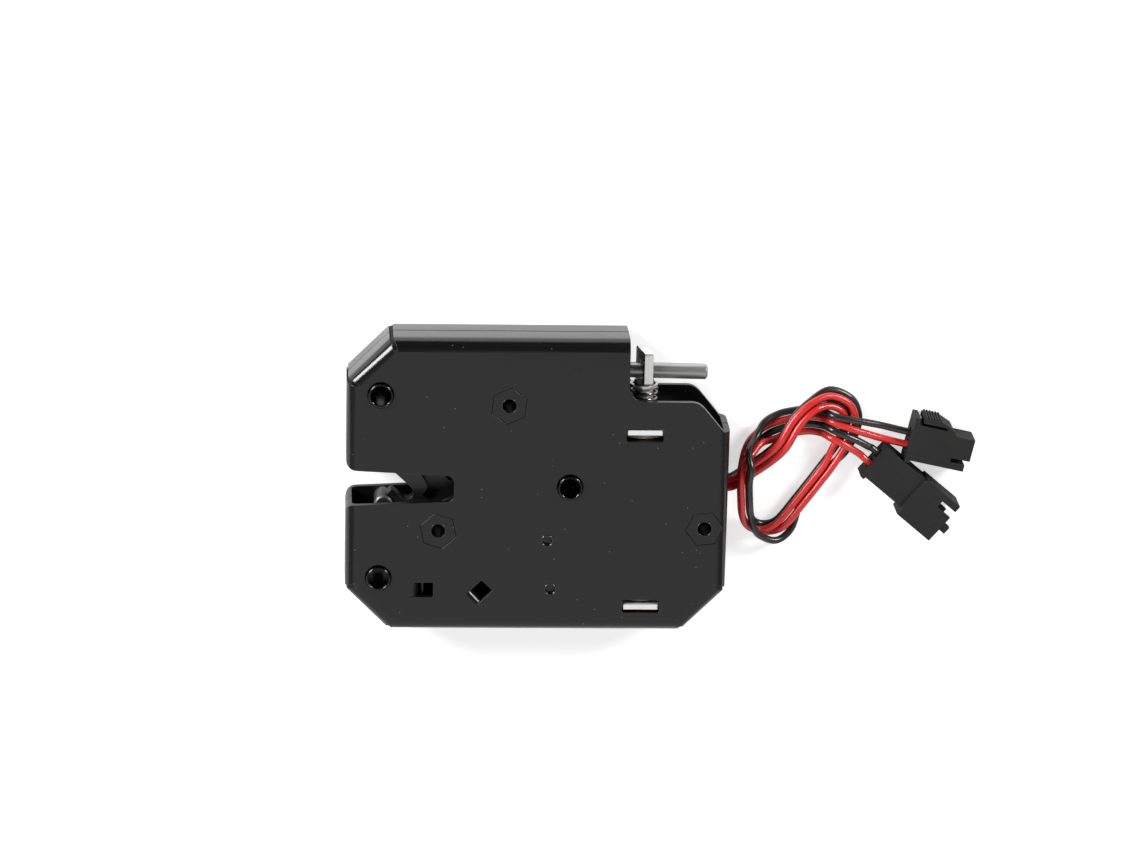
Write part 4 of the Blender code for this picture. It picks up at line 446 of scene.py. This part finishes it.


# Painted shells
# Satin black over folded steel: an even dark film with fine orange peel and dust,
# greyer along the cut edges of the sheet, partly thin rubbed paint, partly painted highlight.
paint, tree, shader = finish("satin_black_paint", (0.008, 0.008, 0.0085), 0.24)
peel = use(tree, grain, Scale=2600.0, Height=0.04, Edge=0.0002)
edge_mask = use(tree, edges, Radius=0.0002, Gain=3.0)
dust = use(tree, specks, Scale=1500.0, Size=0.16, Share=0.02)
clouds = use(tree, grain, Scale=60.0, Height=0.0)
film = blend_colours(tree, clouds.outputs["Value"], (0.004, 0.004, 0.0042), (0.007, 0.007, 0.0072))
# Partly painted highlight: the lighter grey on the edges is thin rubbed paint and also stands for
# the light lines the cut edges catch
rubbed_and_lit_edges = blend_colours(tree, edge_mask.outputs["Value"], film, (0.06, 0.06, 0.059))
dusty = blend_colours(tree, dust.outputs["Value"], rubbed_and_lit_edges, (0.12, 0.12, 0.12))
tree.links.new(dusty, shader.inputs["Base Color"])
tree.links.new(spread(tree, clouds.outputs["Value"], 0.14, 0.24), shader.inputs["Roughness"])
tree.links.new(peel.outputs["Normal"], shader.inputs["Normal"])
dress(paint, "front_shell", "rear_shell", "standoff_lever", "standoff_hook", "standoff_right")

# Paint runs into the corner reliefs: a thin web closes each slit, sunk between the
# flanges and almost flush with the two faces; its deep part is painted shade, dull near black.
# Painted shade: a dull near-black finish for the web's deep part, where the slit lies in shade
web_shade = mottled("painted_slit_shade", (grey(0.006), 0.7), 1800.0,
                   (grey(0.003), grey(0.012)), (0.55, 0.85), height=0.2)
web_shade.node_tree.nodes["Principled BSDF"].inputs["Specular IOR Level"].default_value = 0.25
HALF_LENGTH, HALF_WIDTH, CASE_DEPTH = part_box("front_shell")[1]
CORNER_CHAMFER = 8.3 * MM
WEB_HALF = 0.395 * MM              # half of a web's width
WEB_THICK = 0.35 * MM
WEB_LIT = 0.55 * MM                # this close to a face, a web is painted like the face
# A web's outer line: how far in from the corner, and how far below the face, in millimetres
WEB_PROFILE = ((0.5, 1.9), (0.7, 1.05), (1.0, 0.64), (1.4, 0.38), (1.8, 0.2), (2.2, 0.06),
               (2.75, 0.03))
corners = [Vector(corner) for corner in (
    (HALF_LENGTH, HALF_WIDTH), (-HALF_LENGTH + CORNER_CHAMFER, HALF_WIDTH),
    (-HALF_LENGTH, HALF_WIDTH - CORNER_CHAMFER), (-HALF_LENGTH, -HALF_WIDTH + CORNER_CHAMFER),
    (-HALF_LENGTH + CORNER_CHAMFER, -HALF_WIDTH), (HALF_LENGTH - CORNER_CHAMFER, -HALF_WIDTH),
    (HALF_LENGTH, -HALF_WIDTH + CORNER_CHAMFER))]
upper_line = [(reach * MM, CASE_DEPTH - drop * MM) for reach, drop in WEB_PROFILE]
outer_line = [(reach, CASE_DEPTH - height) for reach, height in upper_line[::-1]] + upper_line
inner_line = [(reach + WEB_THICK, min(max(height, 2 * WEB_THICK), CASE_DEPTH - 2 * WEB_THICK))
              for reach, height in outer_line[::-1]]
web_mesh = bmesh.new()
for index in range(1, len(corners)):
    here = corners[index]
    before, after = corners[index - 1], corners[(index + 1) % len(corners)]
    inward = ((before - here).normalized() + (after - here).normalized()).normalized()
    across = Vector((-inward.y, inward.x)) * WEB_HALF
    rings = [[web_mesh.verts.new((*(here + inward * reach + across * sign), height))
              for reach, height in outer_line + inner_line] for sign in (-1, 1)]
    bridge(web_mesh, *rings)
    for ring in rings:
        for step in range(len(outer_line) - 1):
            web_mesh.faces.new((ring[step], ring[step + 1], ring[-2 - step], ring[-1 - step]))
bmesh.ops.recalc_face_normals(web_mesh, faces=web_mesh.faces)
# Faces deep in the slit take the painted shade, faces near the shell's faces take the paint
webs = solid("relief_webs", web_mesh, web_shade, paint)
for face in webs.data.polygons:
    face.material_index = int(abs(face.center.z - CASE_DEPTH / 2) > CASE_DEPTH / 2 - WEB_LIT)
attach(webs, "casing")


# Zinc-plated pieces
# Bright plating with a faint blue-grey mottle and fine scratches.
zinc, tree, shader = finish("bright_zinc", (0.62, 0.62, 0.6), 0.32, 1.0)
mottle = use(tree, grain, Scale=420.0)
lines = use(tree, brushed, Stretch=(120.0, 120.0, 4200.0), Height=0.08)
tree.links.new(blend_colours(tree, mottle.outputs["Value"], grey(0.42), (0.78, 0.78, 0.76)),
               shader.inputs["Base Color"])
tree.links.new(spread(tree, lines.outputs["Value"], 0.22, 0.45), shader.inputs["Roughness"])
tree.links.new(lines.outputs["Normal"], shader.inputs["Normal"])
dress(zinc, "cover_screw_lever", "cover_screw_hook", "cover_screw_right")

for name, low, high, metallic, wanted in (("frosted_zinc", 0.8, 0.92, 0.25, "solenoid_frame"),
                                          ("dull_zinc", 0.16, 0.32, 1.0, "stop_post")):
    plated = mottled(name, (grey(high), 0.45, metallic), 700.0, (grey(low), grey(high)),
                     (0.34, 0.55), height=0.12)
    dress(plated, wanted)


# Black-coated tubes and rims
# The tubes' ends are nearly black. The paint is drawn round over every punched edge: a
# fine glossy bead lies on each tube's end, pip and standoff's bore.
TUBES = ("mounting_tube_upper", "mounting_tube_middle", "mounting_tube_lower")
STANDOFFS = ("standoff_lever", "standoff_hook", "standoff_right")
black_zinc = mottled("black_zinc", (grey(0.035), 0.18, 1.0), 900.0,
                     (grey(0.015), grey(0.035)), (0.12, 0.22), height=0.03)
beaded = mottled("beaded_paint", (grey(0.14), 0.18, 1.0), 900.0,
                 (grey(0.08), grey(0.14)), (0.12, 0.22), height=0.03)
dress(black_zinc, *TUBES)

# A bead's reach from its middle, its radius and its height, in millimetres
TUBE_BEAD, PIP_BEAD, STANDOFF_BEAD = (2.1, 0.2, 14.0), (1.06, 0.13, 13.32), (1.41, 0.09, 13.29)
PIPS = (Vector((2.0, -10.7)) * MM, Vector((2.77, -20.46)) * MM)
BEAD_STEPS, BEAD_SIDES = 40, 10
UP = Vector((0, 0, 1))
beads = [(middle_of(name), TUBE_BEAD) for name in TUBES]
beads += [(pip, PIP_BEAD) for pip in PIPS]
beads += [(middle_of(name), STANDOFF_BEAD) for name in STANDOFFS]
rim_mesh = bmesh.new()
for middle, (reach, radius, height) in beads:
    rings = []
    for step in range(BEAD_STEPS):
        angle = math.tau * step / BEAD_STEPS
        out = Vector((math.cos(angle), math.sin(angle), 0))
        centre = Vector((middle.x, middle.y, height * MM)) + out * reach * MM
        rings.append(wire_ring(rim_mesh, centre, out, UP, radius * MM, BEAD_SIDES))
    for here, after in zip(rings, rings[1:] + rings[:1]):
        bridge(rim_mesh, here, after)
rims = solid("rim_beads", rim_mesh, beaded)
rims.data.shade_smooth()
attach(rims, "casing")


# Nickel-plated pieces
# The plunger, its washer and the fixed core: smooth and bright with turned lines where
# a face looks front or up; the blade's wide sides and the turned shank get painted shade.
nickel, tree, shader = finish("nickel_plate", (0.8, 0.79, 0.76), 0.2, 0.7)
lines = use(tree, brushed, Stretch=(300.0, 5200.0, 300.0), Height=0.02)
plate = blend_colours(tree, lines.outputs["Value"], (0.82, 0.815, 0.8), (0.94, 0.935, 0.92))
# Painted shade: by the normal in the piece's own frame, faces that look neither front nor up turn
# near black
place = node(tree, "ShaderNodeTexCoord")
facing = node(tree, "ShaderNodeSeparateXYZ", links={0: place.outputs["Normal"]})
front = node(tree, "ShaderNodeMath", operation="MAXIMUM",
             links={0: facing.outputs["Z"], 1: facing.outputs["Y"]})
painted_lit_faces = node(tree, "ShaderNodeMapRange", links={"Value": front.outputs[0]},
            values={"From Min": 0.3, "From Max": 0.8})
tree.links.new(blend_colours(tree, painted_lit_faces.outputs["Result"], (0.07, 0.07, 0.068), plate),
               shader.inputs["Base Color"])
tree.links.new(spread(tree, lines.outputs["Value"], 0.18, 0.34), shader.inputs["Roughness"])
tree.links.new(lines.outputs["Normal"], shader.inputs["Normal"])
dress(nickel, "plunger", "plunger_washer", "fixed_core")


# Bright steel pieces
# Drawn bar and rivets, with fine lines along the rod.
steel, tree, shader = finish("drawn_steel", (0.3, 0.3, 0.295), 0.3, 0.75)
lines = use(tree, brushed, Stretch=(90.0, 4200.0, 4200.0), Height=0.12)
colour_and_gloss(tree, shader, lines.outputs["Value"],
                 ((0.26, 0.26, 0.255), (0.6, 0.6, 0.59)), (0.24, 0.46))
tree.links.new(lines.outputs["Normal"], shader.inputs["Normal"])
dress(steel, "release_rod", "finger_rivet", "switch_pin")


# Blackened steel plates
# The hook, its finger plate and the lever: oiled black oxide, rubbed bright at edges.
oxide, tree, shader = finish("black_oxide", (0.03, 0.03, 0.031), 0.34, 0.9)
mottle = use(tree, grain, Scale=500.0, Height=0.1)
edge_mask = use(tree, edges, Radius=0.00025, Gain=3.5)
film = blend_colours(tree, mottle.outputs["Value"], (0.045, 0.045, 0.046), (0.1, 0.1, 0.1))
tree.links.new(blend_colours(tree, edge_mask.outputs["Value"], film, (0.2, 0.2, 0.198)),
               shader.inputs["Base Color"])
tree.links.new(spread(tree, mottle.outputs["Value"], 0.3, 0.5), shader.inputs["Roughness"])
tree.links.new(mottle.outputs["Normal"], shader.inputs["Normal"])
dress(oxide, "hook_plate", "finger_plate", "pawl_lever")


# Spring wire, brass and tin
# The return spring and the switch's strip are grey and glossy, and the hook's spring is
# oiled dark. The spacers and the plugs' contacts are plain brass.
spring = mottled("spring_wire", ((0.35, 0.345, 0.33), 0.2, 1.0), 1500.0,
                 ((0.24, 0.235, 0.225), (0.46, 0.455, 0.44)), (0.12, 0.26))
dress(spring, "switch_lever")
wire_and_gap_shade = mottled("dark_music_wire", (grey(0.06), 0.32, 1.0), 1500.0,
                     ((0.04, 0.04, 0.041), (0.09, 0.09, 0.088)), (0.24, 0.4))
# Painted shade: the lever's collar takes this dark finish too, so the thin gap round the hexagon
# shows dark
dress(wire_and_gap_shade, "hook_spring", "lever_collar")
brass = mottled("plain_brass", ((0.4, 0.27, 0.11), 0.3, 1.0), 700.0,
                ((0.28, 0.19, 0.08), (0.5, 0.35, 0.15)), (0.22, 0.42))
dress(brass, "hook_spacer", "lever_spacer", "plug_contact_black", "plug_contact_red",
      "socket_contact_black", "socket_contact_red")
tinned = mottled("tinned_terminal", ((0.75, 0.75, 0.73), 0.34, 1.0), 900.0,
                 ((0.6, 0.6, 0.58), (0.84, 0.84, 0.82)), (0.26, 0.44))
dress(tinned, "terminal_common", "terminal_open", "terminal_closed")


# Return spring
# The coil is a piece of its own here, because it is pressed together as the rod is
# pulled: its lower end stays on the solenoid's frame.
COIL_TURNS, COIL_STEPS, COIL_SIDES = 6, 24, 10
COIL_WIRE, COIL_DEAD_TURN = 0.5 * MM, 0.625 * MM
ALONG_COIL = Vector((0, 1, 0))
coil_low, coil_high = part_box("return_spring")
coil_middle = middle_of("return_spring")
coil_reach = (coil_high.x - coil_low.x - COIL_WIRE) / 2
coil_pitch = (coil_high.y - coil_low.y - COIL_WIRE - 2 * COIL_DEAD_TURN) / (COIL_TURNS - 2)
coil_mesh = bmesh.new()
rings = []
for step in range(COIL_TURNS * COIL_STEPS + 1):
    turn = step / COIL_STEPS
    dead = min(turn, 1.0) + max(0.0, turn - (COIL_TURNS - 1.0))
    active = max(0.0, min(turn, COIL_TURNS - 1.0) - 1.0)
    height = coil_low.y + COIL_WIRE / 2 + dead * COIL_DEAD_TURN + active * coil_pitch
    out = Vector((math.cos(math.tau * turn), 0, math.sin(math.tau * turn)))
    centre = Vector((coil_middle.x, height, coil_middle.z)) + out * coil_reach
    rings.append(wire_ring(coil_mesh, centre, out, ALONG_COIL, COIL_WIRE / 2, COIL_SIDES))
for here, after in zip(rings, rings[1:]):
    bridge(coil_mesh, here, after)
coil_mesh.faces.new(rings[0])
coil_mesh.faces.new(rings[-1])
bmesh.ops.recalc_face_normals(coil_mesh, faces=coil_mesh.faces)
coil = solid("return_coil", coil_mesh, spring)
coil.data.shade_smooth()
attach(coil, "casing")
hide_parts("return_spring")
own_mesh(coil)


# Winding and nylon
# The winding is wrapped in very dark brown tape, so each turn of tape shows as a soft
# step. The bobbin and the switch's button are milky nylon.
tape, tree, shader = finish("coil_tape", (0.05, 0.018, 0.008), 0.3)
place = node(tree, "ShaderNodeTexCoord")
turns = node(tree, "ShaderNodeTexWave", bands_direction="Y", wave_profile="SAW",
             links={"Vector": place.outputs["Object"]},
             values={"Scale": 60.0, "Distortion": 0.6, "Detail": 1.0})
tape_colour = blend_colours(tree, turns.outputs["Fac"], (0.035, 0.012, 0.006), (0.07, 0.026, 0.012))
tree.links.new(tape_colour, shader.inputs["Base Color"])
overlaps = node(tree, "ShaderNodeBump", links={"Height": turns.outputs["Fac"]},
                values={"Strength": 0.3, "Distance": LINE_DEPTH})
tree.links.new(overlaps.outputs["Normal"], shader.inputs["Normal"])
shader.inputs["Coat Weight"].default_value = 0.4
dress(tape, "coil_winding")

nylon, tree, shader = finish("natural_nylon", (0.72, 0.71, 0.66), 0.45)
mottle = use(tree, grain, Scale=300.0, Height=0.1)
nylon_colour = blend_colours(tree, mottle.outputs["Value"], (0.64, 0.63, 0.57), (0.78, 0.77, 0.72))
tree.links.new(nylon_colour, shader.inputs["Base Color"])
tree.links.new(mottle.outputs["Normal"], shader.inputs["Normal"])
shader.inputs["Subsurface Weight"].default_value = 0.15
shader.inputs["Subsurface Radius"].default_value = (MM, MM, MM)
dress(nylon, "bobbin", "switch_button")


# Moulded black plastic
# The switch and both plugs: fine spark-eroded texture, duller than the paint, with
# slightly polished edges.
plastic, tree, shader = finish("black_plastic", (0.018, 0.018, 0.018), 0.6)
shader.inputs["Specular IOR Level"].default_value = 0.3
texture = use(tree, grain, Scale=2200.0, Height=0.2)
edge_mask = use(tree, edges, Radius=0.00018, Gain=2.5)
clouds = use(tree, grain, Scale=160.0, Height=0.0)
film = blend_colours(tree, clouds.outputs["Value"], (0.014, 0.014, 0.0138), (0.024, 0.0235, 0.023))
tree.links.new(blend_colours(tree, edge_mask.outputs["Value"], film, (0.05, 0.05, 0.051)),
               shader.inputs["Base Color"])
tree.links.new(spread(tree, texture.outputs["Value"], 0.5, 0.75), shader.inputs["Roughness"])
tree.links.new(texture.outputs["Normal"], shader.inputs["Normal"])
dress(plastic, "switch_housing", "plug_housing", "socket_housing")


# Lead sleeves
# Soft glossy sleeves with faint lengthwise unevenness and a little dust.
for colour, low, high, dust_colour in (
        ("red", (0.62, 0.016, 0.014), (0.8, 0.035, 0.03), (0.85, 0.25, 0.22)),
        ("black", (0.014, 0.0125, 0.012), (0.026, 0.023, 0.022), (0.12, 0.12, 0.12))):
    sleeve, tree, shader = finish(f"{colour}_sleeve", high, 0.3)
    shader.inputs["Coat Weight"].default_value = 0.5
    shader.inputs["Coat Roughness"].default_value = 0.15
    uneven = use(tree, grain, Scale=380.0, Height=0.12)
    dust = use(tree, specks, Scale=1300.0, Size=0.12, Share=0.03)
    film = blend_colours(tree, uneven.outputs["Value"], low, high)
    tree.links.new(blend_colours(tree, dust.outputs["Value"], film, dust_colour),
                   shader.inputs["Base Color"])
    tree.links.new(spread(tree, uneven.outputs["Value"], 0.22, 0.4), shader.inputs["Roughness"])
    tree.links.new(uneven.outputs["Normal"], shader.inputs["Normal"])
    for name, pieces in leads.items():
        if name.endswith(colour):
            for piece in pieces:
                piece.data.materials.append(sleeve)


# Floor and light
# A plain pale floor, shaded where the lock covers it and with a painted reflection behind
# it, a soft sky that is dark towards the rod's side, and a lamp at each upper corner that
# lines the folds with light.
FLOOR_HALF = 1.5
FLOOR_DROP = 0.1 * MM              # just below the rear cover
FLOOR_SEEN = 0.6                   # how much brighter the camera sees it
# The floor's grid lines in millimetres, and the rows of each column under the lock
FLOOR_COLUMNS = (-34.0, -24.0, 16.5, 27.0, 34.0)
FLOOR_ROWS = (-27.0, -19.0, -4.0, 3.2, 9.5, 16.5, 19.0, 27.0)
COVERED = {1: (2, 4, 5, 6), 2: (1, 2, 3, 4, 5, 6, 7), 3: (1, 2, 3, 4, 5), 4: (2, 3, 4)}
columns = (-FLOOR_HALF, *[x * MM for x in FLOOR_COLUMNS], FLOOR_HALF)
rows = (-FLOOR_HALF, *[y * MM for y in FLOOR_ROWS], FLOOR_HALF)
cells = [(column, row) for row in range(len(rows) - 1) for column in range(len(columns) - 1)]
floor_mesh = bpy.data.meshes.new("floor")
floor_mesh.from_pydata([(x, y, 0.0) for y in rows for x in columns], [],
                       [(start, start + 1, start + 1 + len(columns), start + len(columns))
                        for start in (row * len(columns) + column for column, row in cells)])
floor = bpy.data.objects.new("floor", floor_mesh)
floor.location.z = -FLOOR_DROP
bpy.context.scene.collection.objects.link(floor)
pale, tree, shader = finish("pale_floor", grey(0.86), 0.9)
shader.inputs["Specular IOR Level"].default_value = 0.0
shader.inputs["Emission Color"].default_value = (1.0, 1.0, 1.0, 1.0)
rays = node(tree, "ShaderNodeLightPath")
seen = node(tree, "ShaderNodeMath", operation="MULTIPLY",
            links={0: rays.outputs["Is Camera Ray"]}, values={1: FLOOR_SEEN})
# Painted reflection: for glossy rays the floor shines brighter behind the lock, so its glossy top
# flange mirrors it, and barely beside it
place = node(tree, "ShaderNodeTexCoord")
spot = node(tree, "ShaderNodeSeparateXYZ", links={0: place.outputs["Object"]})
behind = node(tree, "ShaderNodeMapRange", links={"Value": spot.outputs["Y"]},
              values={"From Min": 0.0, "From Max": 0.05, "To Min": 0.1, "To Max": 0.85})
beside = node(tree, "ShaderNodeMapRange", links={"Value": spot.outputs["X"]},
              values={"From Min": 0.03, "From Max": 0.06, "To Min": 1.0, "To Max": 0.1})
reflection_glow = node(tree, "ShaderNodeMath", operation="MULTIPLY",
            links={0: behind.outputs["Result"], 1: beside.outputs["Result"]})
mirrored = node(tree, "ShaderNodeMath", operation="MULTIPLY_ADD",
                links={0: rays.outputs["Is Glossy Ray"], 1: reflection_glow.outputs[0], 2: seen.outputs[0]})
tree.links.new(mirrored.outputs[0], shader.inputs["Emission Strength"])
even = use(tree, grain, Scale=30.0, Height=0.0)
tree.links.new(blend_colours(tree, even.outputs["Value"], grey(0.85), grey(0.87)),
               shader.inputs["Base Color"])
floor_mesh.materials.append(pale)
shaded, tree, shader = finish("shaded_floor", grey(0.86), 0.9)
shader.inputs["Specular IOR Level"].default_value = 0.0
floor_mesh.materials.append(shaded)
for cell, (column, row) in zip(floor_mesh.polygons, cells):
    cell.material_index = int(row in COVERED.get(column, ()))

world = bpy.data.worlds.new("studio")
world.use_nodes = True
sky = world.node_tree
direction = node(sky, "ShaderNodeTexCoord")
parts = node(sky, "ShaderNodeSeparateXYZ", links={0: direction.outputs["Generated"]})
level = node(sky, "ShaderNodeMapRange", interpolation_type="SMOOTHSTEP",
             links={"Value": parts.outputs["Y"]},
             values={"From Min": -0.28, "From Max": 0.1, "To Min": 0.76, "To Max": 0.02})
aside = node(sky, "ShaderNodeMath", operation="ABSOLUTE", links={0: parts.outputs["X"]})
dimmed = node(sky, "ShaderNodeMapRange", interpolation_type="SMOOTHSTEP",
              links={"Value": aside.outputs[0]},
              values={"From Min": 0.4, "From Max": 0.9, "To Min": 1.0, "To Max": 0.3})
strength = node(sky, "ShaderNodeMath", operation="MULTIPLY",
                links={0: level.outputs["Result"], 1: dimmed.outputs["Result"]})
backdrop = sky.nodes["Background"]
backdrop.inputs["Color"].default_value = (1.0, 1.0, 1.0, 1.0)
sky.links.new(strength.outputs[0], backdrop.inputs["Strength"])
bpy.context.scene.world = world

# Each lamp's place, its size and its power in watts
LAMPS = {"left_lamp": ((-0.7, 0.47, 0.5), 0.34, 9.0),
         "right_lamp": ((0.75, 0.5, 0.5), 0.28, 6.0)}
for name, (place, size, power) in LAMPS.items():
    lamp_data = bpy.data.lights.new(name, "AREA")
    lamp_data.shape = "SQUARE"
    lamp_data.size = size
    lamp_data.energy = power
    lamp = bpy.data.objects.new(name, lamp_data)
    lamp.location = place
    lamp.rotation_euler = (-Vector(place)).to_track_quat("-Z", "Y").to_euler()
    bpy.context.scene.collection.objects.link(lamp)

bpy.context.scene.view_settings.view_transform = "Standard"
